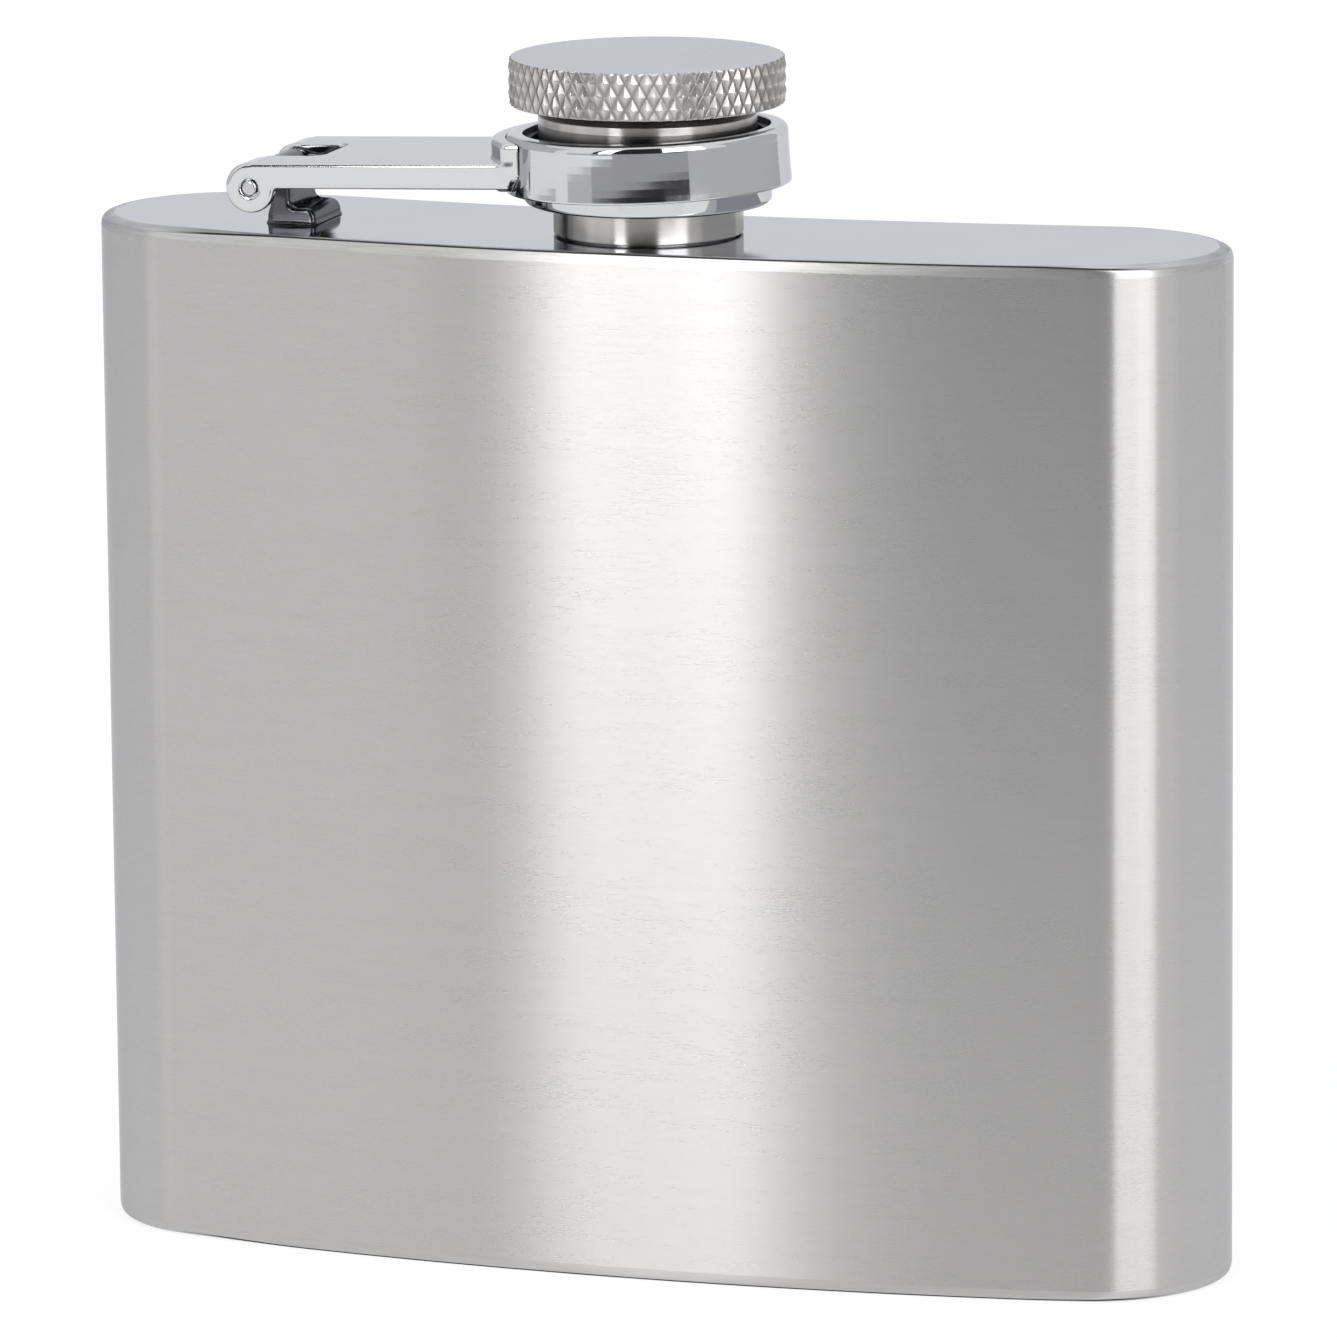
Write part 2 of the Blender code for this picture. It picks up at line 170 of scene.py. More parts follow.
class FlaskHinge(bpy.types.PropertyGroup):
    """Sizes of the arm, its pin and its bracket."""

    arm_width: length("Arm width", "Channel from flange to flange", 0.0155)
    arm_sheet: length("Arm sheet", "Thickness of the arm's sheet", 0.0010)
    arm_flange: length("Arm flange", "Depth of the arm's flanges", 0.00215)
    arm_bend: length("Arm bend", "Outer radius of the arm's bends", 0.00025)
    arm_tilt: angle("Arm tilt", "Rise of the arm towards the collar", 2.0)
    ear_radius: length("Ear radius", "Round ears on the pin", 0.00205)
    notch_depth: length("Notch depth", "Notch round the knuckle, from the pin", 0.0047)
    knuckle_width: length("Knuckle width", "Bracket along the pin", 0.0064)
    barrel_radius: length("Barrel radius", "Knuckle round the pin", 0.0017)
    pin_radius: length("Pin radius", "Hinge pin", 0.00062)


class FlaskFinish(bpy.types.PropertyGroup):
    """Colours of the finishes."""

    brushed: colour("Brushed steel", "Sleeve of the body", (0.505, 0.497, 0.494))
    # Only the top plate's rim takes this colour. It is lighter than the bottom rim, which has the
    # sleeve's colour: painted light on the rim that faces up.
    rim: colour("Rim steel", "Rounded rim of the top plate, painted lighter", (0.60, 0.595, 0.59))
    polished: colour("Polished steel", "End plates", (0.60, 0.615, 0.64))
    # The bracket's colour is much darker than that of the other steel.
    bracket: colour("Bracket steel", "Bracket, darker than the other steel", (0.10, 0.10, 0.105))
    pin: colour("Pin steel", "Ends of the hinge pin", (0.58, 0.58, 0.59))
    # On the skirt this colour keeps only a band; the rest of the skirt is painted as shade.
    turned: colour("Turned steel", "Neck, and the light band of the skirt", (0.53, 0.515, 0.49))
    # This dark colour is painted shade on the skirt's walls, under the head and inside the collar.
    skirt: colour("Skirt steel", "Skirt below the head and inside the collar", (0.24, 0.234, 0.226))
    knurled: colour("Knurled steel", "Rim of the cap's head", (0.64, 0.625, 0.61))
    satin: colour("Satin steel", "Top of the cap's head", (0.57, 0.575, 0.615))
    chrome: colour("Chrome", "Arm and collar", (0.62, 0.625, 0.635))
    seal: colour("Seal", "Sealing disc in the cap", (0.80, 0.79, 0.75))
    # This near-black colour is painted shade inside the collar's bore.
    bore: colour("Bore steel", "Inside of the collar, painted shade", (0.07, 0.07, 0.072))
    # The weld line's dark colour is partly the weld and partly painted shade in its crevice.
    weld: colour("Weld line", "Dark line where an end plate meets its rim", (0.05, 0.05, 0.052))
    shoulder: colour("Shoulder", "Rolled edge above the weld line", (0.60, 0.60, 0.61))
    edge_tint: colour("Edge tint", "Metals seen at a grazing angle", (0.74, 0.75, 0.78))


class FlaskStudio(bpy.types.PropertyGroup):
    """Camera and light."""

    camera_place: FloatVectorProperty(
        name="Camera place",
        description="Position of the camera",
        default=(0.26078, -0.78326, 0.21292),
        subtype="TRANSLATION",
        unit="LENGTH",
    )
    camera_turn: angle("Camera turn", "Turn of the camera about the vertical", 18.348)
    camera_dip: angle("Camera dip", "Look of the camera below the horizon", 11.291)
    camera_roll: angle("Camera roll", "Roll of the camera about its view", -0.523)
    camera_lens: FloatProperty(
        name="Camera lens", description="Focal length", default=279.42, unit="CAMERA"
    )
    backdrop: colour("Backdrop", "Floor and surroundings", (1.0, 1.0, 1.0))
    card: colour("Card", "Dark card in front that the metal mirrors", (0.03, 0.03, 0.032))
    side_card: colour("Side card", "Grey cards at the sides", (0.63, 0.63, 0.64))
    low_card: colour("Low card", "Low grey card at the right", (0.62, 0.62, 0.63))
    mat: colour("Mat", "Grey mat in front that the metal mirrors", (0.46, 0.46, 0.47))


def unit(vectors):
    """Vectors over their lengths."""
    return vectors / np.maximum(np.linalg.norm(vectors, axis=-1, keepdims=True), 1e-12)


def outline(corners, steps=6):
    """Outline through (u, v, radius) corners, each an arc that touches its two sides.

    The arc's centre lies on the bisector of the directions to the two neighbours, at the radius
    over the sine of half their angle, and its points swing from one touching point to the other.
    One more point past each end of the arc keeps the flats beside it flat when shaded.
    """
    corners = np.asarray(corners, float)
    here, radius = corners[:, None, :2], corners[:, None, 2:]
    back, on = (unit(np.roll(here, shift, axis=0) - here) for shift in (1, -1))
    half = np.arccos(np.clip((back * on).sum(-1, keepdims=True), -1, 1)) / 2
    centre = here + unit(back + on) * radius / np.sin(half)
    touch = radius / np.tan(half)
    first, last = here + back * touch - centre, here + on * touch - centre
    share, span = np.linspace(0, 1, steps + 1)[None, :, None], np.pi - 2 * half
    swing = np.sin((1 - share) * span) * first + np.sin(share * span) * last
    arcs = centre + swing / np.maximum(np.sin(span), 1e-9)
    guards = [here + way * (touch + 0.25 * radius) for way in (back, on)]
    return np.concatenate([guards[0], arcs, guards[1]], axis=1).reshape(-1, 2)


def turns(count):
    """Angles of points at even steps round a circle."""
    return np.arange(count) * (2 * np.pi / count)


def turned(radius, height, count):
    """Rings of a turned piece: radii and heights of a profile, carried round the Z axis."""
    turn = turns(count)
    radius, height = np.asarray(radius), np.asarray(height)
    radius = radius[:, None] if radius.ndim == 1 else radius
    rings = [radius * np.cos(turn), radius * np.sin(turn), height[:, None] + 0 * turn]
    return np.stack(np.broadcast_arrays(*rings), -1)


def ring_faces(rows, count, joined):
    """Quads between neighbouring closed rings and, if joined, from the last ring to the first."""
    row, place = np.arange(rows if joined else rows - 1)[:, None], np.arange(count)
    low, high, after = row * count, (row + 1) % rows * count, (place + 1) % count
    return np.stack([low + place, low + after, high + after, high + place], -1).reshape(-1, 4)


def soft_max(a, b, width):
    """Larger of two distances, rounded where they are closer than the width."""
    near = np.maximum(width - np.abs(a - b), 0) / width
    return np.maximum(a, b) + near**2 * width / 4


def soft_min(a, b, width):
    """Smaller of two distances, rounded in the same way."""
    return -soft_max(-a, -b, width)


def slab(u, v, half_u, half_v, radius):
    """Distance to a rectangle about the origin with rounded corners."""
    u, v = np.abs(u) - half_u + radius, np.abs(v) - half_v + radius
    outside = np.hypot(np.maximum(u, 0), np.maximum(v, 0))
    return outside + np.minimum(np.maximum(u, v), 0) - radius


def sculpted(field, low, high, step):
    """Skin of a solid that is given by a distance field: one point in each grid cell it crosses.

    A point starts at its cell's centre and moves along the field's slope by the distance, five
    times over. Round each grid edge with one end in the solid, four of the points make a face.
    """
    low = np.asarray(low, float)
    axes = [np.arange(a, b + step, step) for a, b in zip(low, high)]
    inside = field(np.stack(np.meshgrid(*axes, indexing="ij"), -1)) < 0
    ends = (slice(None, -1), slice(1, None))
    count = sum(inside[i, j, k].astype(np.int8) for i in ends for j in ends for k in ends)
    crossed = (count > 0) & (count < 8)
    number = np.cumsum(crossed).reshape(crossed.shape) - 1
    points = low + (np.argwhere(crossed) + 0.5) * step
    reach, least_steep = 0.05 * step, 0.2
    probes = np.eye(3) * reach
    for _ in range(5):
        slope = [field(points + probe) - field(points - probe) for probe in probes]
        slope = np.stack(slope, -1) / (2 * reach)
        steep = np.maximum((slope**2).sum(-1, keepdims=True), least_steep)
        points = points - field(points)[:, None] * slope / steep
    faces = []
    for axis in range(3):
        solid, cell = np.moveaxis(inside, axis, 0), np.moveaxis(number, axis, 0)
        change = (solid[:-1] != solid[1:])[:, 1:-1, 1:-1]
        corners = cell[:, :-1, :-1], cell[:, 1:, :-1], cell[:, 1:, 1:], cell[:, :-1, 1:]
        quads = np.stack(corners, -1)[change]
        back = solid[1:, 1:-1, 1:-1][change] ^ (axis == 1)
        faces.append(np.where(back[:, None], quads[:, ::-1], quads))
    return points, np.concatenate(faces)


def piece(name, points, quads, finishes, body, crest=None, parts=None, sharp=40, node=None):
    """A mesh from points and quads, with its doubles merged, that stands for a CAD node.

    Crest is a mask on the points, parts gives the number of each face's finish, and edges that
    turn by more than sharp degrees are shaded as sharp.
    """
    mesh = bpy.data.meshes.new(name)
    points, quads = np.reshape(points, (-1, 3)), np.asarray(quads, np.int32)
    mesh.vertices.add(len(points))
    mesh.vertices.foreach_set("co", points.astype(np.float32).ravel())
    mesh.loops.add(quads.size)
    mesh.loops.foreach_set("vertex_index", quads.ravel())
    mesh.polygons.add(len(quads))
    mesh.polygons.foreach_set("loop_start", np.arange(0, quads.size, 4, dtype=np.int32))
    mesh.update(calc_edges=True)
    for finish in finishes if isinstance(finishes, (list, tuple)) else [finishes]:
        mesh.materials.append(finish)
    if parts is not None:
        mesh.polygons.foreach_set("material_index", np.asarray(parts, np.int32))
    if crest is not None:
        mask = mesh.attributes.new("crest", "FLOAT", "POINT")
        mask.data.foreach_set("value", np.asarray(crest, np.float32).ravel())
    bm = bmesh.new()
    bm.from_mesh(mesh)
    bmesh.ops.remove_doubles(bm, verts=bm.verts, dist=TOUCH)
    bmesh.ops.recalc_face_normals(bm, faces=bm.faces)
    bm.to_mesh(mesh)
    bm.free()
    mesh.shade_smooth()
    if sharp:
        mesh.set_sharp_from_angle(angle=np.radians(sharp))
    obj = bpy.data.objects.new(name, mesh)
    bpy.context.scene.collection.objects.link(obj)
    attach(obj, body)
    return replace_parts(obj, node or name)


def kidney(body):
    """Outline of the body from above and its outward normals: four arcs that touch.

    From the neck's axis, the front arc of radius F is about (0, F - T/2) and the back arc of
    radius B about (0, B + T/2), with T the thickness. An end of radius r about (W/2 - r, y)
    touches both when its centre is F - r from the first centre and B + r from the second. The
    difference of these makes y linear in r, and the first then gives r from a quadratic.
    """
    f, b, w = body.front_radius, body.back_radius, body.width
    front, back = f - body.thickness / 2, b + body.thickness / 2
    slope = (f + b) / (front - back)
    start = (front**2 - back**2 - f**2 + b**2) / (2 * (front - back))
    rest = start - front
    r = np.roots([slope**2, 2 * f - w + 2 * slope * rest, w**2 / 4 + rest**2 - f**2]).real
    r = r[r > 0].min()
    x, y = w / 2 - r, start + slope * r
    lower, upper = np.arctan2(y - front, x), np.arctan2(back - y, -x)

    def arc(centre, radius, first, last, count, outward=1):
        turn = np.linspace(first, last, count, endpoint=False)
        normal = np.stack([np.cos(turn), np.sin(turn)], -1)
        return centre + radius * normal, outward * normal

    parts = [
        arc((0, front), f, -np.pi - lower, lower, 180),
        arc((x, y), r, lower, upper, 110),
        arc((0, back), b, upper - np.pi, -upper, 140, -1),
        arc((-x, y), r, np.pi - upper, np.pi - lower, 110),
    ]
    points, normals = (np.concatenate(part) for part in zip(*parts))
    return points + NECK_AXIS[:2], normals


def inset_rings(section, inset, height):
    """Rings of a section moved inwards along its normals, with an inset and a height for each ring.

    Both may also change from point to point along the ring.
    """
    points, normals = section
    inset, height = (np.reshape(steps, (len(steps), -1, 1)) for steps in (inset, height))
    flat = points - inset * normals
    return np.concatenate([flat, np.broadcast_to(height, flat.shape[:2] + (1,))], -1)


def thread(turn, height, start, end, pitch, run=0.0004):
    """Ridge of a right-hand thread, from 0 at its root to 1 on its crest, and a mask of its ends.

    Its phase is the height in pitches less the turn. The flanks are straight, between their root
    and the crest in half pitches from the ridge's middle. The mask rises over a short run at both
    ends.
    """
    root, flank = 0.78, 0.40
    phase = (height[:, None] - start) / pitch - turn / (2 * np.pi)
    away = 2 * np.abs(phase - np.round(phase))
    ridge = np.clip((root - away) / flank, 0, 1)
    inside = np.clip(np.minimum(height - start, end - height) / run, 0, 1)[:, None]
    return ridge, inside * inside * (3 - 2 * inside)


def threaded_wall(profile, at, radius, first, last, rows=64):
    """Profile with an upright wall put in at an index, its rows close enough for a thread."""
    wall = np.stack([np.full(rows, radius), np.linspace(first, last, rows)], -1)
    return np.concatenate([profile[:at], wall, profile[at:]])


def node(tree, kind, inputs=None, **settings):
    """Adds a shader node, sets its options, and gives each named input a value or a link."""
    made = tree.nodes.new(kind)
    for name, value in settings.items():
        setattr(made, name, value)
    for name, value in (inputs or {}).items():
        if isinstance(value, bpy.types.NodeSocket):
            tree.links.new(value, made.inputs[name])
        else:
            made.inputs[name].default_value = value
    return made


def group(name, inputs, outputs):
    """An empty shader group with float inputs (name, default) and named value outputs."""
    tree = bpy.data.node_groups.new(name, "ShaderNodeTree")
    for label, default in inputs:
        socket = tree.interface.new_socket(label, in_out="INPUT", socket_type="NodeSocketFloat")
        socket.default_value = default
    for label in outputs:
        tree.interface.new_socket(label, in_out="OUTPUT", socket_type="NodeSocketFloat")
    return tree, tree.nodes.new("NodeGroupInput"), tree.nodes.new("NodeGroupOutput")


def ramp(tree, value, low, high, to_low=0.0, to_high=1.0):
    """A value between low and high carried over to another range, and held at its ends."""
    inputs = {"Value": value, "From Min": low, "From Max": high}
    inputs |= {"To Min": to_low, "To Max": to_high}
    return node(tree, "ShaderNodeMapRange", inputs).outputs["Result"]


def grain_group():
    """Grain of brushing: noise drawn out sideways and packed in height, as lines and specks."""
    if "brushed grain" in bpy.data.node_groups:
        return bpy.data.node_groups["brushed grain"]
    inputs = [("Along", 120.0), ("Across", 8000.0)]
    tree, given, out = group("brushed grain", inputs, ("Grain", "Streak", "Speck"))
    place = node(tree, "ShaderNodeTexCoord").outputs["Object"]

    def lines(along, across, detail):
        sides = [
            node(tree, "ShaderNodeMath", {0: given.outputs[name], 1: times}, operation="MULTIPLY")
            for name, times in (("Along", along), ("Across", across))
        ]
        x, z = (side.outputs[0] for side in sides)
        scale = node(tree, "ShaderNodeCombineXYZ", {"X": x, "Y": x, "Z": z})
        inputs = {0: place, 1: scale.outputs[0]}
        vector = node(tree, "ShaderNodeVectorMath", inputs, operation="MULTIPLY")
        inputs = {"Vector": vector.outputs[0], "Scale": 1.0, "Detail": detail, "Roughness": 0.6}
        return node(tree, "ShaderNodeTexNoise", inputs).outputs["Fac"]

    tree.links.new(ramp(tree, lines(1, 1, 2), 0.3, 0.7), out.inputs["Grain"])
    tree.links.new(ramp(tree, lines(0.15, 0.1, 4), 0.3, 0.7), out.inputs["Streak"])
    tree.links.new(ramp(tree, lines(5, 0.6, 1), 0.60, 0.72), out.inputs["Speck"])
    return tree


def marks_group():
    """Handling marks: soft smudges, and hairlines where a stretched noise passes its middle."""
    if "handling marks" in bpy.data.node_groups:
        return bpy.data.node_groups["handling marks"]
    tree, given, out = group("handling marks", [("Size", 1.0)], ("Smudge", "Hairline", "Ripple"))
    place = node(tree, "ShaderNodeTexCoord").outputs["Object"]
    vector = node(tree, "ShaderNodeVectorMath", {0: place}, operation="SCALE")
    tree.links.new(given.outputs["Size"], vector.inputs["Scale"])

    def noise(scale, turn, size, detail):
        inputs = {"Vector": vector.outputs[0], "Rotation": turn, "Scale": scale}
        mapped = node(tree, "ShaderNodeMapping", inputs).outputs[0]
        inputs = {"Vector": mapped, "Scale": size, "Detail": detail}
        return node(tree, "ShaderNodeTexNoise", inputs).outputs["Fac"]

    tree.links.new(ramp(tree, noise((1, 1, 1), (0, 0, 0), 90, 3), 0.35, 0.7), out.inputs["Smudge"])
    lines = noise((40, 1, 40), (0.5, 0.3, 0.9), 60, 1)
    away = node(tree, "ShaderNodeMath", {0: lines, 1: 0.5}, operation="SUBTRACT")
    away = node(tree, "ShaderNodeMath", {0: away.outputs[0]}, operation="ABSOLUTE")
    tree.links.new(ramp(tree, away.outputs[0], 0.012, 0.0), out.inputs["Hairline"])
    tree.links.new(noise((1, 1, 1), (0.2, 0.1, 0), 350, 1), out.inputs["Ripple"])
    return tree


def metal(name, colour, roughness, anisotropic=0.0, rotation=0.0):
    """An empty metal finish: its tree and shader, with the values that are the same all over."""
    made = bpy.data.materials.new(name)
    made.use_nodes = True
    tree = made.node_tree
    shader = tree.nodes["Principled BSDF"]
    shader.inputs["Base Color"].default_value = (*colour, 1)
    shader.inputs["Metallic"].default_value = 1.0
    shader.inputs["Roughness"].default_value = roughness
    shader.inputs["Anisotropic"].default_value = anisotropic
    shader.inputs["Anisotropic Rotation"].default_value = rotation
    shader.inputs["Specular Tint"].default_value = (*bpy.context.scene.flask_finish.edge_tint, 1)
    return made, tree, shader


def tint(tree, shader, mask, dark, light):
    """Base colour from dark to light shares of the finish's colour, by a mask."""
    base = np.array(shader.inputs["Base Color"].default_value)[:3]
    shades = [(*np.clip(base * share, 0, 1), 1) for share in (dark, light)]
    factor, first, second, result = 0, 6, 7, 2  # sockets of a mix that is set to colours
    inputs = {factor: mask, first: shades[0], second: shades[1]}
    mix = node(tree, "ShaderNodeMix", inputs, data_type="RGBA")
    tree.links.new(mix.outputs[result], shader.inputs["Base Color"])


def relief(tree, shader, height, strength, distance):
    """Bump from a height."""
    inputs = {"Height": height, "Strength": strength, "Distance": distance}
    bump = node(tree, "ShaderNodeBump", inputs)
    tree.links.new(bump.outputs[0], shader.inputs["Normal"])


def total(tree, *parts):
    """Weighted sum of (value, weight) pairs."""
    value = 0.0
    for part, weight in parts:
        inputs = {0: part, 1: weight, 2: value}
        value = node(tree, "ShaderNodeMath", inputs, operation="MULTIPLY_ADD").outputs[0]
    return value


def lined_finish(name, colour, roughness, along, across, spread, strength, anisotropic):
    """Brushed or turned metal: grain lines round the piece in its colour, roughness and relief.

    Along and across are the scales of the grain, spread that of its shades, strength its relief.
    """
    quarter = 0.25
    made, tree, shader = metal(name, colour, roughness, anisotropic, quarter)
    grain = node(tree, "ShaderNodeGroup", node_tree=grain_group())
    grain.inputs["Along"].default_value = along
    grain.inputs["Across"].default_value = across
    marks = node(tree, "ShaderNodeGroup", node_tree=marks_group())
    fine, streak, speck = (grain.outputs[k] for k in ("Grain", "Streak", "Speck"))
    mask = total(tree, (fine, 0.55), (streak, 0.35), (marks.outputs["Smudge"], 0.1))
    tint(tree, shader, mask, 1 - spread, 1 + spread)
    rough = total(tree, (fine, 0.5), (streak, 0.3), (marks.outputs["Smudge"], 0.2))
    rough = ramp(tree, rough, 0, 1, roughness * 0.97, roughness * 1.03)
    tree.links.new(rough, shader.inputs["Roughness"])
    height = total(tree, (fine, 0.12), (streak, 0.2), (speck, 0.4))
    relief(tree, shader, height, strength, 0.00002)
    return made


def mirror_finish(name, colour, low, high, ripple):
    """Polished metal: a mirror with smudges, hairlines and the faint ripple of buffing.

    The roughness is low where the metal is clean and high where it is marked.
    """
    made, tree, shader = metal(name, colour, low)
    marks = node(tree, "ShaderNodeGroup", node_tree=marks_group())
    smudge, hairline = marks.outputs["Smudge"], marks.outputs["Hairline"]
    tint(tree, shader, smudge, 0.98, 1.02)
    rough = total(tree, (smudge, 0.7), (hairline, 0.6))
    tree.links.new(ramp(tree, rough, 0, 1, low, high), shader.inputs["Roughness"])
    height = total(tree, (marks.outputs["Ripple"], 1.0), (hairline, -0.02))
    relief(tree, shader, height, ripple, 0.00005)
    return made


def knurled_finish(name, colour):
    """Satin metal that is darker in the grooves of the knurl, as painted shade, and duller there,
    by the crest attribute.
    """
    made, tree, shader = metal(name, colour, 0.3)
    crest = node(tree, "ShaderNodeAttribute", attribute_name="crest").outputs["Fac"]
    marks = node(tree, "ShaderNodeGroup", node_tree=marks_group())
    marks.inputs["Size"].default_value = 5.0
    mask = total(tree, (crest, 0.8), (marks.outputs["Smudge"], 0.2))
    # The colour darkens in the grooves as painted shade.
    tint(tree, shader, mask, 0.40, 1.10)
    rough = total(tree, (crest, 0.7), (marks.outputs["Smudge"], 0.3))
    tree.links.new(ramp(tree, rough, 0, 1, 0.42, 0.24), shader.inputs["Roughness"])
    relief(tree, shader, marks.outputs["Ripple"], 0.45, 0.00005)
    return made


def seal_finish(name, colour):
    """Silicone: soft sheen with a faint mottle."""
    made, tree, shader = metal(name, colour, 0.5)
    shader.inputs["Metallic"].default_value = 0.0
    marks = node(tree, "ShaderNodeGroup", node_tree=marks_group())
    tint(tree, shader, marks.outputs["Smudge"], 0.94, 1.03)
    rough = ramp(tree, marks.outputs["Smudge"], 0, 1, 0.42, 0.58)
    tree.links.new(rough, shader.inputs["Roughness"])
    relief(tree, shader, marks.outputs["Ripple"], 0.15, 0.00005)
    return made


def dull_metal(name, colour):
    """Dull metal with uneven roughness: its tree, its shader and a mask of soft patches."""
    made, tree, shader = metal(name, colour, 0.5)
    marks = node(tree, "ShaderNodeGroup", node_tree=marks_group())
    rough = ramp(tree, marks.outputs["Ripple"], 0, 1, 0.4, 0.6)
    tree.links.new(rough, shader.inputs["Roughness"])
    return made, tree, shader, marks.outputs["Smudge"]


def dull_finish(name, colour):
    """Dull metal with soft patches."""
    made, tree, shader, patches = dull_metal(name, colour)
    tint(tree, shader, patches, 0.6, 1.4)
    return made


def weld_and_shade_finish(name, colour, middle, fade):
    """Dark line of a weld, partly painted shade in its crevice, lightened over a fade of distances
    from its middle, along X.
    """
    made, tree, shader, patches = dull_metal(name, colour)
    place = node(tree, "ShaderNodeTexCoord").outputs["Object"]
    across = node(tree, "ShaderNodeSeparateXYZ", {0: place}).outputs["X"]
    away = node(tree, "ShaderNodeMath", {0: across, 1: middle}, operation="SUBTRACT")
    away = node(tree, "ShaderNodeMath", {0: away.outputs[0]}, operation="ABSOLUTE")
    ground = ramp(tree, away.outputs[0], *fade)
    # Near the middle the line is dark, partly as painted shade in the crevice; away from it the
    # colour lightens.
    tint(tree, shader, total(tree, (patches, 0.07), (ground, 1.0)), 0.6, 11.6)
    return made


def turned_finish(name, colour):
    """Metal from the lathe, with fine lines round the piece."""
    lines = {"along": 60, "across": 14000, "spread": 0.06, "strength": 0.05}
    return lined_finish(name, colour, roughness=0.24, anisotropic=0.85, **lines)


class FLASK_OT_sleeve(bpy.types.Operator):
    """Body sleeve: the kidney section carried up between the end plates, with an inner wall"""

    bl_idname = "flask.sleeve"
    bl_label = "Body sleeve"

    def execute(self, context):
        body, finish = context.scene.flask_body, context.scene.flask_finish
        lines = {"along": 700, "across": 8000, "spread": 0.04, "strength": 0.13}
        steel = lined_finish(
            "sleeve_steel", finish.brushed, roughness=0.277, anisotropic=1.0, **lines
        )
        low = body.rim_height + body.seam
        high, edge, margin, rows = PLATE_TOP - low, 0.000002, 0.0004, 24
        wall = [(body.sheet, low), (edge, low), (0, low + edge)]
        wall += [(0, z) for z in np.linspace(low + margin, high - margin, rows)]
        wall += [(0, high - edge), (edge, high), (body.sheet, high)]
        rings = inset_rings(kidney(body), *np.array(wall).T)
        quads = ring_faces(*rings.shape[:2], joined=True)
        name, cad = "body_sleeve_brushed", "body_sleeve"
        piece(name, rings, quads, steel, "flask", node=cad)
        return {"FINISHED"}


class FLASK_OT_end_plates(bpy.types.Operator):
    """End plates: a flat, a rolled shoulder, a weld line darkened partly as painted shade, and a
    rounded rim along the outline
    """

    bl_idname = "flask.end_plates"
    bl_label = "End plates"

    def execute(self, context):
        body, finish = context.scene.flask_body, context.scene.flask_finish
        steel = mirror_finish("plate_steel", finish.polished, low=0.05, high=0.14, ripple=0.05)
        lines = {"along": 300, "across": 6000, "anisotropic": 1.0}
        # The top rim is painted lighter than the bottom rim, whose finish has the sleeve's colour:
        # painted light.
        rolled = lined_finish(
            "rim_steel", finish.rim, roughness=0.38, spread=0.18, strength=0.30, **lines
        )
        base = lined_finish(
            "base_rim_steel", finish.brushed, roughness=0.28, spread=0.08, strength=0.15, **lines
        )
        # The weld line's dark finish is partly painted shade in its crevice.
        weld_and_crevice_shade = weld_and_shade_finish("weld_and_crevice_shade", finish.weld, WELD_MIDDLE, WELD_FADE)
        rolled_edge = dull_finish("shoulder", finish.shoulder)
        section, hole = kidney(body), body.neck_radius - 0.0003
        inset, depth = self.rim(section, body.sheet, body.rim_height)
        joins = np.cumsum([len(RIM_SHOULDER) - 1, len(RIM_WELD), len(RIM_BAND) + 1])
        ends = [("top_plate", rolled, PLATE_TOP, -1, hole), ("bottom_plate", base, 0, 1, 0)]
        for cad, side, face, way, radius in ends:
            rings = inset_rings(section, inset, face + way * depth)
            flat = self.flat(rings[0], radius)[::-1]
            rings = np.concatenate([flat, rings, self.flat(rings[-1], radius)])
            quads = ring_faces(*rings.shape[:2], joined=radius > 0)
            row = np.arange(len(quads)) // rings.shape[1] - len(flat)
            parts = np.select([row < 0, *(row < join for join in joins)], [0, 3, 2, 1], 0)
            finishes, name = [steel, side, weld_and_crevice_shade, rolled_edge], f"{cad}_polished"
            piece(name, rings, quads, finishes, "flask", parts=parts, node=cad)
        return {"FINISHED"}

    @staticmethod
    def rim(section, sheet, tall):
        """Insets and depths of the rim's rings at each point of the outline.

        Along the front and the back the weld line rises by a share of its depth. The rings of
        the shoulder rise in proportion to theirs, and those of the band less and less down to
        the foot of the rim. The shoulder's insets shrink towards the line by the same share.
        """
        away = np.abs(section[0][:, 0] - WELD_MIDDLE)
        near = np.clip((RISE_END - away) / RISE_RUN, 0, 1)
        rise = WELD_RISE * near**2 * (3 - 2 * near)
        inset, depth = np.array(RIM_SHOULDER + RIM_WELD + RIM_BAND).T[..., None] * MM
        (start, upper), lower = np.array(RIM_WELD[0]) * MM, RIM_WELD[-1][1] * MM
        depth = depth - rise * upper * np.interp(depth, [0, upper, lower, tall], [0, 1, 1, 0])
        inset = inset - rise * np.maximum(inset - start, 0)
        under = [(0, tall), (sheet, tall), (sheet + 0.0001, 0.00085), (sheet + 0.0005, 0.0008)]
        under = np.array(under).T[..., None] + 0 * rise
        return [np.concatenate(rows) for rows in zip((inset, depth), under)]

    @staticmethod
    def flat(ring, radius, first=0.004, count=14):
        """Rings of a flat, from an outline straight towards a circle about the axis of the neck."""
        share = np.concatenate([[first], np.linspace(0, 1, count)[1:]])[:, None, None]
        way = unit((ring - NECK_AXIS)[:, :2])
        circle = np.concatenate([NECK_AXIS[:2] + way * radius, ring[:, 2:]], -1)
        return ring + (circle - ring) * share


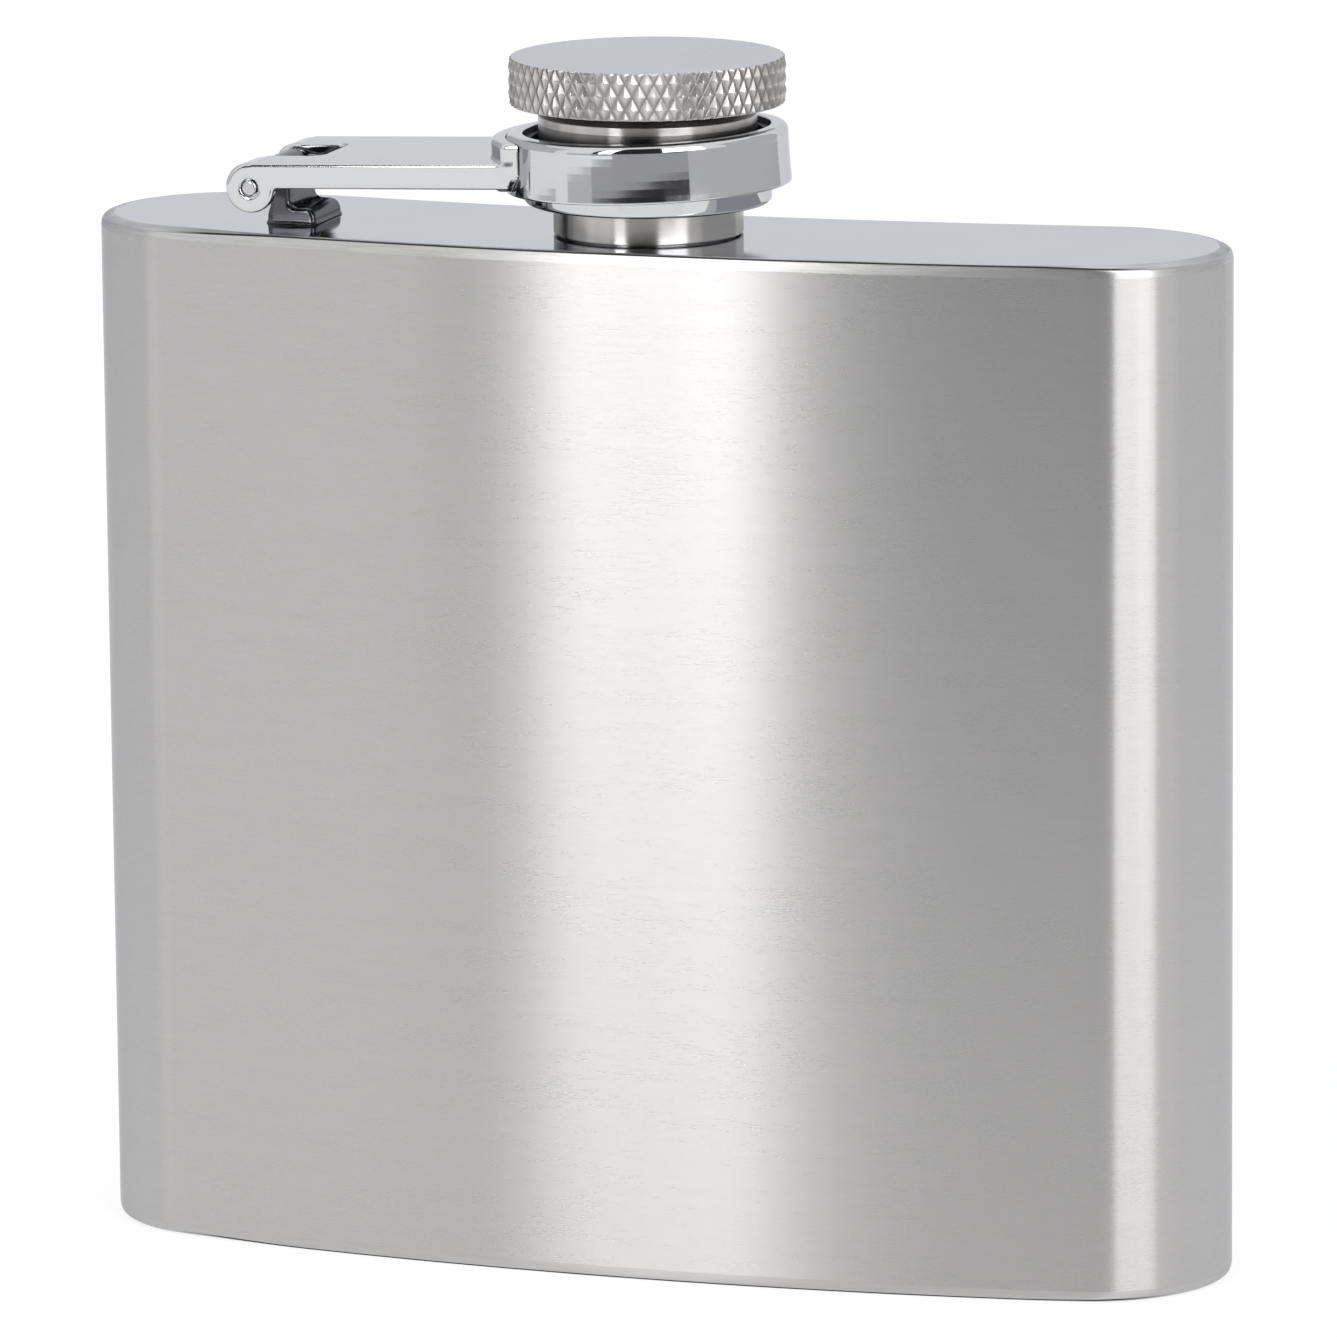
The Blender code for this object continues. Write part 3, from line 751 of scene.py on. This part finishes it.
class FLASK_OT_neck(bpy.types.Operator):
    """Neck: a turned tube with an outside thread above its plain foot"""

    bl_idname = "flask.neck"
    bl_label = "Neck"

    def execute(self, context):
        body, finish = context.scene.flask_body, context.scene.flask_finish
        steel = turned_finish("turned_steel", finish.turned)
        low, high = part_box("neck")[0].z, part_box("neck")[1].z
        foot, r, bore = PLATE_TOP + 0.0001, body.neck_radius, body.neck_bore
        spigot = r - 0.0005
        profile = outline(
            [
                (bore, low, 0.0002),
                (spigot, low, 0),
                (spigot, foot, 0),
                (r, foot, 0.00015),
                (r, high, 0.0003),
                (bore, high, 0.0003),
            ]
        )
        at = int(np.flatnonzero(profile[:, 0] >= r - TOUCH)[0]) + 2
        profile = threaded_wall(profile, at, r, foot + 0.0026, high - 0.0004)
        start, end = foot + 0.0028, high - 0.0005
        ridge, inside = thread(turns(ROUND), profile[:, 1], start, end, body.thread_pitch)
        outer = (profile[:, :1] > r - TOUCH) * inside
        radius = profile[:, :1] - body.thread_depth * outer * (1 - ridge)
        rings = turned(radius, profile[:, 1], ROUND) + NECK_AXIS
        quads = ring_faces(*rings.shape[:2], joined=True)
        piece("neck_threaded", rings, quads, steel, "flask", node="neck")
        return {"FINISHED"}


class FLASK_OT_bracket(bpy.types.Operator):
    """Hinge bracket and pin: a knuckle on a post with a welded foot, and a pin with crowned ends"""

    bl_idname = "flask.bracket"
    bl_label = "Hinge bracket and pin"

    def execute(self, context):
        hinge, finish = context.scene.flask_hinge, context.scene.flask_finish
        steel = mirror_finish("bracket_steel", finish.bracket, low=0.10, high=0.24, ripple=0.12)
        barrel, half = hinge.barrel_radius, hinge.knuckle_width / 2
        base, lift = PLATE_TOP - PIN_AXIS.z, 0.00003
        post_place, post_half = 0.0009, 0.0008
        foot_place, foot_half, foot_height = 0.0019, 0.0020, 0.00135

        def field(p):
            """Barrel, post and foot in side view, drawn out along the pin, and a weld bead."""
            x, y, z = np.moveaxis(p, -1, 0)
            knuckle = np.hypot(x, z) - barrel
            post = slab(x - post_place, z - base / 2, post_half, -base / 2, 0.0003)
            foot = slab(x - foot_place, z - base, foot_half, foot_height, 0.0009)
            side = soft_min(soft_min(post, foot, 0.0008), knuckle, 0.0002)
            solid = soft_max(side, np.abs(y) - half, 0.0004)
            hole = hinge.pin_radius + PIN_CLEARANCE - np.hypot(x, z)
            solid = soft_max(solid, hole, 0.0001)
            solid = soft_min(solid, z - base, 0.0004)
            return np.maximum(solid, base + lift - z)

        reach = half + 0.0012
        low, high = (-0.0026, -reach, base - 0.0002), (0.0064, reach, barrel + 0.0003)
        points, quads = sculpted(field, low, high, step=0.0001)
        points = points + np.array(PIN_AXIS)
        name, cad = "hinge_bracket_welded", "hinge_bracket"
        piece(name, points, quads, steel, "flask", sharp=0, node=cad)

        end, r = (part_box("hinge_pin")[1].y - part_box("hinge_pin")[0].y) / 2, hinge.pin_radius
        profile = outline([(0, -end, 0), (r, -end, 0.0002), (r, end, 0.0002), (0, end, 0)])
        profile = profile[np.abs(profile[:, 0]) <= r]
        rings = turned(profile[:, 0], profile[:, 1], count=48)[..., [0, 2, 1]]
        rings = rings + np.array(PIN_AXIS)
        quads = ring_faces(*rings.shape[:2], joined=False)
        bright = mirror_finish("pin_steel", finish.pin, low=0.14, high=0.26, ripple=0.05)
        name, cad = "hinge_pin_crowned", "hinge_pin"
        piece(name, rings, quads, bright, "flask", node=cad)
        return {"FINISHED"}


def tilted(points, tilt):
    """Points about the pin, turned so that the arm rises towards the collar, and put in place."""
    turn = np.array(Matrix.Rotation(-tilt, 3, "Y"))
    return points @ turn.T + np.array(PIN_AXIS)


def collar_wall(cap, height):
    """Radius of the collar at a height over its widest edge.

    It narrows upwards along a parabola that ends upright at the top.
    """
    share = np.clip(height / cap.collar_height, 0, 1)
    return cap.collar_radius - cap.collar_taper * share * (2 - share)


def collar_middle(cap, tilt):
    """Middle of the collar seen from the pin, in the arm's own tilted frame."""
    middle = Vector((*NECK_AXIS[:2], cap.collar_bottom + cap.collar_height / 2)) - PIN_AXIS
    return np.array(Matrix.Rotation(tilt, 3, "Y") @ middle)


def chrome_finish(context):
    """Chrome of the arm and the collar, made once."""
    if "bright_chrome" in bpy.data.materials:
        return bpy.data.materials["bright_chrome"]
    chrome = context.scene.flask_finish.chrome
    return mirror_finish("bright_chrome", chrome, low=0.04, high=0.10, ripple=0.09)


class FLASK_OT_arm(bpy.types.Operator):
    """Hinge arm: a pressed channel with ears, a notch round the knuckle and a saddle"""

    bl_idname = "flask.arm"
    bl_label = "Hinge arm"

    def execute(self, context):
        cap, hinge = context.scene.flask_cap, context.scene.flask_hinge
        ear, sheet, bend = hinge.ear_radius, hinge.arm_sheet, hinge.arm_bend
        half, notch_half = hinge.arm_width / 2, hinge.knuckle_width / 2 + 0.0003
        middle = collar_middle(cap, hinge.arm_tilt)
        inner = cap.collar_radius + COLLAR_GAP
        outer = inner + sheet
        foot, tall = middle[2] - cap.collar_height / 2, cap.collar_height / 2 - 0.0003
        deep = 0.02  # past the ends of the channel
        clip, diagonal = 0.0011, 0.7071  # lower corners of the saddle, cut at 45 degrees

        def field(p):
            """Channel cut to its side view, notch, pin hole and the collar, plus the saddle."""
            x, y, z = np.moveaxis(p, -1, 0)
            skin = slab(y, z - ear + deep, half, deep, bend)
            hollow = slab(y, z - ear + sheet + deep, half - sheet, deep, max(bend - sheet, 0.0002))
            sheet_metal = soft_max(skin, -hollow, 0.0002)
            round_ear = np.hypot(x, z) - ear
            bar = np.maximum(ear - hinge.arm_flange - z, -x)
            side = soft_min(round_ear, bar, 0.0003)
            channel = soft_max(sheet_metal, side, 0.0003)
            notch = slab(x - hinge.notch_depth + deep, y, deep, notch_half, 0.0010)
            channel = soft_max(channel, -notch, 0.00025)
            hole = hinge.pin_radius + PIN_CLEARANCE - np.hypot(x, z)
            channel = soft_max(channel, hole, 0.00012)
            away = np.hypot(x - middle[0], y)
            channel = np.maximum(channel, (inner + outer) / 2 - away)
            saddle = soft_max(away - outer, np.abs(y) - half - 0.00015, 0.0003)
            saddle = soft_max(saddle, np.abs(z - middle[2]) - tall, 0.0004)
            clipped = (np.abs(y) + middle[2] - z - half - tall + clip) * diagonal
            saddle = soft_max(saddle, clipped, 0.0003)
            wall = collar_wall(cap, z - foot) + COLLAR_GAP
            return np.maximum(soft_min(channel, saddle, 0.0003), wall - away)

        low = (-ear - 0.0003, -half - 0.0005, -ear - 0.0003)
        high = (middle[0] - inner * 0.72, half + 0.0005, middle[2] + cap.collar_height / 2 + 0.0003)
        points, quads = sculpted(field, low, high, step=0.000125)
        points = tilted(points, hinge.arm_tilt)
        name, cad, chrome = "hinge_arm_pressed", "hinge_arm", chrome_finish(context)
        piece(name, points, quads, chrome, "arm", sharp=0, node=cad)
        return {"FINISHED"}


class FLASK_OT_collar(bpy.types.Operator):
    """Collar: a turned ring, widest at its foot, with a counterbore and an inner lip"""

    bl_idname = "flask.collar"
    bl_label = "Collar"

    def execute(self, context):
        cap, hinge = context.scene.flask_cap, context.scene.flask_hinge
        finish = context.scene.flask_finish
        # The inside of the collar gets a near-black finish: painted shade in its bore.
        finishes = [chrome_finish(context), dull_finish("bore_painted_shade", finish.bore)]
        r, high, lip = cap.collar_radius, cap.collar_height, cap.collar_lip
        counterbore, ledge, roof = cap.flange_radius + 0.0003, high - 0.0005, high - 0.0008
        steps, count, rise = 8, 240, np.linspace(0.0006, high - 0.0010, 6)
        profile = outline(
            [
                (counterbore, 0, 0.00003),
                (r, 0, 0.00015),
                *((collar_wall(cap, h), h, 0.0008) for h in rise),
                (collar_wall(cap, high), high, 0.0006),
                (lip + 0.0007, high, 0.0001),
                (lip + 0.0006, ledge, 0),
                (lip, ledge, 0.00008),
                (lip, roof, 0.00008),
                (counterbore, roof, 0),
            ],
            steps,
        )
        rings = turned(profile[:, 0], profile[:, 1] - high / 2, count)
        points = tilted(rings + collar_middle(cap, hinge.arm_tilt), hinge.arm_tilt)
        quads = ring_faces(*rings.shape[:2], joined=True)
        chromed = (3 + len(rise)) * (steps + 3) + steps  # rows up to the edge of the bore
        # Rows past the edge of the bore take the near-black finish, painted shade.
        parts = np.arange(len(quads)) // count > chromed
        piece("collar_turned", points, quads, finishes, "arm", parts=parts, node="collar")
        return {"FINISHED"}


class FLASK_OT_cap(bpy.types.Operator):
    """Screw cap: a threaded skirt with its flange, a diamond-knurled head and a sealing disc"""

    bl_idname = "flask.cap"
    bl_label = "Screw cap"

    def execute(self, context):
        scene = context.scene
        body, cap, finish = scene.flask_body, scene.flask_cap, scene.flask_finish
        # The skirt's walls are painted dark as shade under the head and inside the collar; only a
        # band keeps the turned steel.
        painted_shade_walls = turned_finish("skirt_painted_shade", finish.skirt)
        self.skirt(body, cap, [painted_shade_walls, bpy.data.materials["turned_steel"], chrome_finish(context)])
        satin = mirror_finish("satin_steel", finish.satin, low=0.20, high=0.28, ripple=0.03)
        self.head(cap, [knurled_finish("knurl_steel", finish.knurled), satin])
        self.disc(seal_finish("silicone", finish.seal))
        return {"FINISHED"}

    @staticmethod
    def skirt(body, cap, finishes):
        """Turned from the middle of the ceiling down the threaded bore and up round the flange."""
        low, top = SKIRT_BOX[0].z, SKIRT_BOX[1].z
        ceiling = SEAL_BOX[1].z + 0.0003
        bore, r, flange = cap.skirt_bore, cap.skirt_radius, cap.flange_radius
        flange_top, waist, band_low, depth = low + 0.0017, r - 0.0006, top - 0.0027, 0.0003
        profile = outline(
            [
                (0, ceiling, 0),
                (bore, ceiling, 0.0001),
                (bore, low, 0.0002),
                (flange - 0.00013, low, 0.0004),
                (flange, flange_top, 0.0001),
                (r, flange_top, 0.0001),
                (r, band_low, 0),
                (r, top - 0.0021, 0.0001),
                (waist, top - 0.0015, 0.0001),
                (waist, top, 0),
                (0, top, 0),
            ]
        )
        at = int(np.flatnonzero(np.abs(profile[:, 0] - bore) < TOUCH)[0]) + 1
        profile = threaded_wall(profile, at, bore, ceiling - 0.0013, low + 0.0005)
        start, end = low + 0.0006, ceiling - 0.0016
        ridge, inside = thread(turns(ROUND), profile[:, 1], start, end, body.thread_pitch)
        inner = (np.abs(profile[:, :1] - bore) < TOUCH) * inside
        rings = turned(profile[:, :1] - depth * inner * ridge, profile[:, 1], ROUND) + NECK_AXIS
        quads = ring_faces(*rings.shape[:2], joined=False)
        middle = (profile[1:] + profile[:-1]) / 2
        band = (middle[:, 0] > r - 0.00005) & (middle[:, 1] > band_low)
        edge = (middle[:, 0] > flange - 0.0005) & (middle[:, 1] < low + 0.0016)
        # Faces take the painted-shade finish, the band the turned steel, and the flange the chrome.
        parts = np.repeat(np.select([band, edge], [1, 2], 0), ROUND)
        name, cad = "cap_skirt_threaded", "cap_skirt"
        piece(name, rings, quads, finishes, "cap", parts=parts, node=cad)

    @staticmethod
    def head(cap, finishes):
        """Turned, with a rim that two families of grooves cross.

        A groove runs where the turn plus or less the height, both counted in diamonds, is a whole
        number. The radius drops from the crests to the grooves in proportion to the way from the
        nearer groove.
        """
        steps, crest_way = 20, 0.46  # points for a diamond each way; way from a groove to a crest
        low, top, r, edge = HEAD_BOX[0].z, HEAD_BOX[1].z, cap.head_radius, cap.head_edge
        socket, roof, count = cap.skirt_radius - 0.0003, low + 0.0013, cap.knurl_count * steps
        rows = int(round((top - low - 2 * edge) / (cap.knurl_height / steps)))
        wall = np.linspace(low + edge, top - edge, rows + 1)
        lower = [(0, roof, 0), (socket, roof, 0), (socket, low, 0.0001), (r, low, edge)]
        lower = outline([*lower, (r, top, 0), (0, top, 0)])
        lower = lower[: int(np.flatnonzero(lower[:, 0] > r - TOUCH)[0])]
        upper = outline([(0, low, 0), (r, low, 0), (r, top, edge), (0, top, 0)])
        beside = (upper[:, 0] > r - TOUCH) & (upper[:, 1] > wall[-1] - TOUCH)
        upper = upper[int(np.flatnonzero(beside)[-1]) + 1 :]
        profile = np.concatenate([lower, np.stack([np.full(rows + 1, r), wall], -1), upper])
        turn = np.arange(count) / steps
        rise = (profile[:, 1:] - (low + top) / 2) / cap.knurl_height
        grooves = [np.abs(way - np.round(way)) for way in (turn + rise, turn - rise)]
        crest = np.clip(np.minimum(*grooves) / crest_way, 0, 1)
        rim = np.clip((profile[:, :1] - r + 1.2 * edge) / edge, 0, 1)
        crest = 1 - (1 - crest) * rim
        radius = profile[:, :1] - cap.knurl_depth * (1 - crest)
        rings = turned(radius, profile[:, 1], count) + NECK_AXIS
        quads = ring_faces(*rings.shape[:2], joined=False)
        parts = np.arange(len(quads)) // count > len(profile) - len(upper) + 2
        name, cad = "cap_head_knurled", "cap_head"
        piece(name, rings, quads, finishes, "cap", crest, parts, node=cad)

    @staticmethod
    def disc(silicone):
        """Turned disc with rounded edges."""
        low, high, r = SEAL_BOX[0].z, SEAL_BOX[1].z, SEAL_BOX[1].x
        profile = outline([(0, low, 0), (r, low, 0.0003), (r, high, 0.0003), (0, high, 0)])
        rings = turned(profile[:, 0], profile[:, 1], count=120) + NECK_AXIS
        quads = ring_faces(*rings.shape[:2], joined=False)
        piece("cap_gasket_disc", rings, quads, silicone, "seal", node="cap_gasket")


def blank(owner):
    """Node tree of a material or a world, emptied."""
    owner.use_nodes = True
    owner.node_tree.nodes.clear()
    return owner.node_tree


def seen(tree):
    """1 for camera, glossy and transmission rays, which see the backdrop at its written colour."""
    path = node(tree, "ShaderNodeLightPath")
    rays = ("Is Camera Ray", "Is Glossy Ray", "Is Transmission Ray")
    value = 0.0
    for ray in rays:
        inputs = {0: path.outputs[ray], 1: value}
        value = node(tree, "ShaderNodeMath", inputs, operation="MAXIMUM").outputs[0]
    return value


class FLASK_OT_stage(bpy.types.Operator):
    """Stage: pale floor and surroundings, softboxes, cards that the metal mirrors, and camera"""

    bl_idname = "flask.stage"
    bl_label = "Stage"

    def execute(self, context):
        scene, studio = context.scene, context.scene.flask_studio
        scene.view_settings.view_transform = "Standard"
        self.surroundings(scene, studio)
        self.floor(studio)
        dark = self.card_finish("dark_card", studio.card)
        grey = self.card_finish("grey_card", studio.side_card)
        low_grey = self.card_finish("low_grey_card", studio.low_card)
        mat = self.card_finish("mat", studio.mat)
        # Name, finish, first and last azimuth in degrees, distance, and height of foot and top.
        cards = (
            ("front_card", dark, -10.6, 30.5, 0.80, 0.0, 1.60),
            ("left_strip", dark, -27, -21.8, 0.80, 0.0, 1.20),
            ("left_card", grey, -150, -62, 0.90, 0.0, 0.90),
            ("right_card", grey, 85, 150, 0.90, 0.0, 0.90),
            ("right_low_card", low_grey, 51, 150, 0.82, 0.0, 0.10),
            ("left_low_card", grey, -50, -28, 0.82, 0.0, 0.10),
            ("low_card", mat, -28, 51, 0.78, 0.0, 0.057),
            ("low_dark_card", dark, -28, 51, 0.78, 0.057, 0.10),
        )
        for card in cards:
            self.card(*card)
        self.mat("front_mat", mat, first=-10, last=51, near=0.30, far=0.78)
        # Name, azimuth in degrees, distance, width and radiance.
        softboxes = (
            ("left_softbox", -16.1, 0.85, 0.170, 3.3),
            ("left_softbox_near_edge", -20.5, 0.845, 0.028, 5.9),
            ("left_softbox_far_edge", -12.1, 0.845, 0.028, 5.0),
            ("right_softbox", 48.2, 0.85, 0.546, 2.95),
        )
        for softbox in softboxes:
            self.softbox(*softbox)
        self.camera(scene, studio)
        return {"FINISHED"}

    @staticmethod
    def surroundings(scene, studio):
        """A world of one even colour."""
        scene.world = bpy.data.worlds.new("studio")
        tree = blank(scene.world)
        inputs = {"Color": (*studio.backdrop, 1), "Strength": 1.0}
        shown = node(tree, "ShaderNodeBackground", inputs)
        node(tree, "ShaderNodeOutputWorld", {"Surface": shown.outputs[0]})

    @staticmethod
    def floor(studio):
        """A wide floor that begins in front of the flask, lit in part by its own colour."""
        made, own_light = bpy.data.materials.new("floor"), 0.8
        tree = blank(made)
        plain = node(tree, "ShaderNodeBsdfDiffuse", {"Color": (*studio.backdrop, 1)})
        inputs = {"Color": (*studio.backdrop, 1), "Strength": 1.0}
        glow = node(tree, "ShaderNodeEmission", inputs)
        share = node(tree, "ShaderNodeMath", {0: seen(tree), 1: own_light}, operation="MULTIPLY")
        inputs = {0: share.outputs[0], 1: plain.outputs[0], 2: glow.outputs[0]}
        mix = node(tree, "ShaderNodeMixShader", inputs)
        node(tree, "ShaderNodeOutputMaterial", {"Surface": mix.outputs[0]})
        mesh, near, far = bpy.data.meshes.new("floor"), -0.80, 4
        corners = [(-far, near, 0), (far, near, 0), (far, far, 0), (-far, far, 0)]
        mesh.from_pydata(corners, [], [(0, 1, 2, 3)])
        mesh.materials.append(made)
        obj = bpy.data.objects.new("floor", mesh)
        bpy.context.scene.collection.objects.link(obj)
        obj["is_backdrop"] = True

    @staticmethod
    def card_finish(name, colour):
        """Card that shows its written colour in any light."""
        made = bpy.data.materials.new(name)
        tree = blank(made)
        shown = node(tree, "ShaderNodeEmission", {"Color": (*colour, 1), "Strength": 1.0})
        node(tree, "ShaderNodeOutputMaterial", {"Surface": shown.outputs[0]})
        return made

    @staticmethod
    def sheet(name, finish, low, high):
        """A strip between two rows of points, which only the metal sees."""
        count, place = len(low), np.arange(len(low) - 1)
        quads = np.stack([place, place + 1, place + 1 + count, place + count], -1)
        mesh = bpy.data.meshes.new(name)
        mesh.from_pydata(np.concatenate([low, high]).tolist(), [], quads.tolist())
        mesh.materials.append(finish)
        obj = bpy.data.objects.new(name, mesh)
        bpy.context.scene.collection.objects.link(obj)
        obj.visible_camera = obj.visible_shadow = obj.visible_diffuse = False
        obj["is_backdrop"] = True

    @staticmethod
    def bow(first, last, radius, height, count=24):
        """Points on an arc round the flask: azimuths from the front towards the right."""
        turn = np.radians(np.linspace(first, last, count))
        return np.c_[radius * np.sin(turn), -radius * np.cos(turn), np.full(count, height)]

    def card(self, name, finish, first, last, radius, low, high):
        """A card that stands round the flask between two azimuths, at one distance."""
        rows = (self.bow(first, last, radius, height) for height in (low, high))
        self.sheet(name, finish, *rows)

    def mat(self, name, finish, first, last, near, far):
        """A mat that lies on the floor between two azimuths and two distances."""
        rows = (self.bow(first, last, radius, MAT_HEIGHT) for radius in (far, near))
        self.sheet(name, finish, *rows)

    @staticmethod
    def softbox(name, azimuth, distance, width, radiance):
        """An upright area lamp that faces the flask; its power is radiance times pi times area."""
        turn, middle = np.radians(azimuth), SOFTBOX_LOW + SOFTBOX_HEIGHT / 2
        lamp = bpy.data.lights.new(name, "AREA")
        lamp.shape = "RECTANGLE"
        lamp.size, lamp.size_y = width, SOFTBOX_HEIGHT
        lamp.energy = radiance * np.pi * width * SOFTBOX_HEIGHT
        obj = bpy.data.objects.new(name, lamp)
        bpy.context.scene.collection.objects.link(obj)
        obj.location = (distance * np.sin(turn), -distance * np.cos(turn), middle)
        obj.rotation_euler = (np.pi / 2, 0, turn)
        obj.visible_camera = False

    @staticmethod
    def camera(scene, studio):
        """Camera at its written place, turned about the vertical, then dipped and rolled."""
        data = bpy.data.cameras.new("camera")
        data.lens = studio.camera_lens
        data.sensor_width = 36
        data.clip_start = 0.01
        obj = bpy.data.objects.new("camera", data)
        scene.collection.objects.link(obj)
        turn = Matrix.Rotation(studio.camera_turn, 4, "Z")
        dip = Matrix.Rotation(np.pi / 2 - studio.camera_dip, 4, "X")
        roll = Matrix.Rotation(studio.camera_roll, 4, "Z")
        obj.matrix_world = Matrix.Translation(studio.camera_place) @ turn @ dip @ roll
        scene.camera = obj


OPERATORS = (
    FLASK_OT_sleeve,
    FLASK_OT_end_plates,
    FLASK_OT_neck,
    FLASK_OT_bracket,
    FLASK_OT_arm,
    FLASK_OT_collar,
    FLASK_OT_cap,
    FLASK_OT_stage,
)
SETTINGS = {
    "flask_body": FlaskBody,
    "flask_cap": FlaskCap,
    "flask_hinge": FlaskHinge,
    "flask_finish": FlaskFinish,
    "flask_studio": FlaskStudio,
}


class FLASK_PT_sidebar(bpy.types.Panel):
    """Sizes, colours and operators of the flask"""

    bl_idname = "FLASK_PT_sidebar"
    bl_label = "Hip Flask"
    bl_space_type = "VIEW_3D"
    bl_region_type = "UI"
    bl_category = "Hip Flask"

    def draw(self, context):
        for name, kind in SETTINGS.items():
            box = self.layout.box()
            for key in kind.__annotations__:
                box.prop(getattr(context.scene, name), key)
        for operator in OPERATORS:
            self.layout.operator(operator.bl_idname)


def register():
    for kind in (*SETTINGS.values(), *OPERATORS, FLASK_PT_sidebar):
        bpy.utils.register_class(kind)
    for name, kind in SETTINGS.items():
        setattr(bpy.types.Scene, name, PointerProperty(type=kind))


def unregister():
    for name in SETTINGS:
        delattr(bpy.types.Scene, name)
    for kind in (FLASK_PT_sidebar, *reversed(OPERATORS), *reversed(SETTINGS.values())):
        bpy.utils.unregister_class(kind)


def main():
    """Builds the flask and its studio."""
    register()
    bpy.ops.flask.sleeve()
    bpy.ops.flask.end_plates()
    bpy.ops.flask.neck()
    bpy.ops.flask.bracket()
    bpy.ops.flask.arm()
    bpy.ops.flask.collar()
    bpy.ops.flask.cap()
    bpy.ops.flask.stage()
    sizes = {"cad": CAD_BOX, "visual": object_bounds()}
    sizes = {name: [list(corner) for corner in box] for name, box in sizes.items()}


if __name__ == "__main__":
    main()
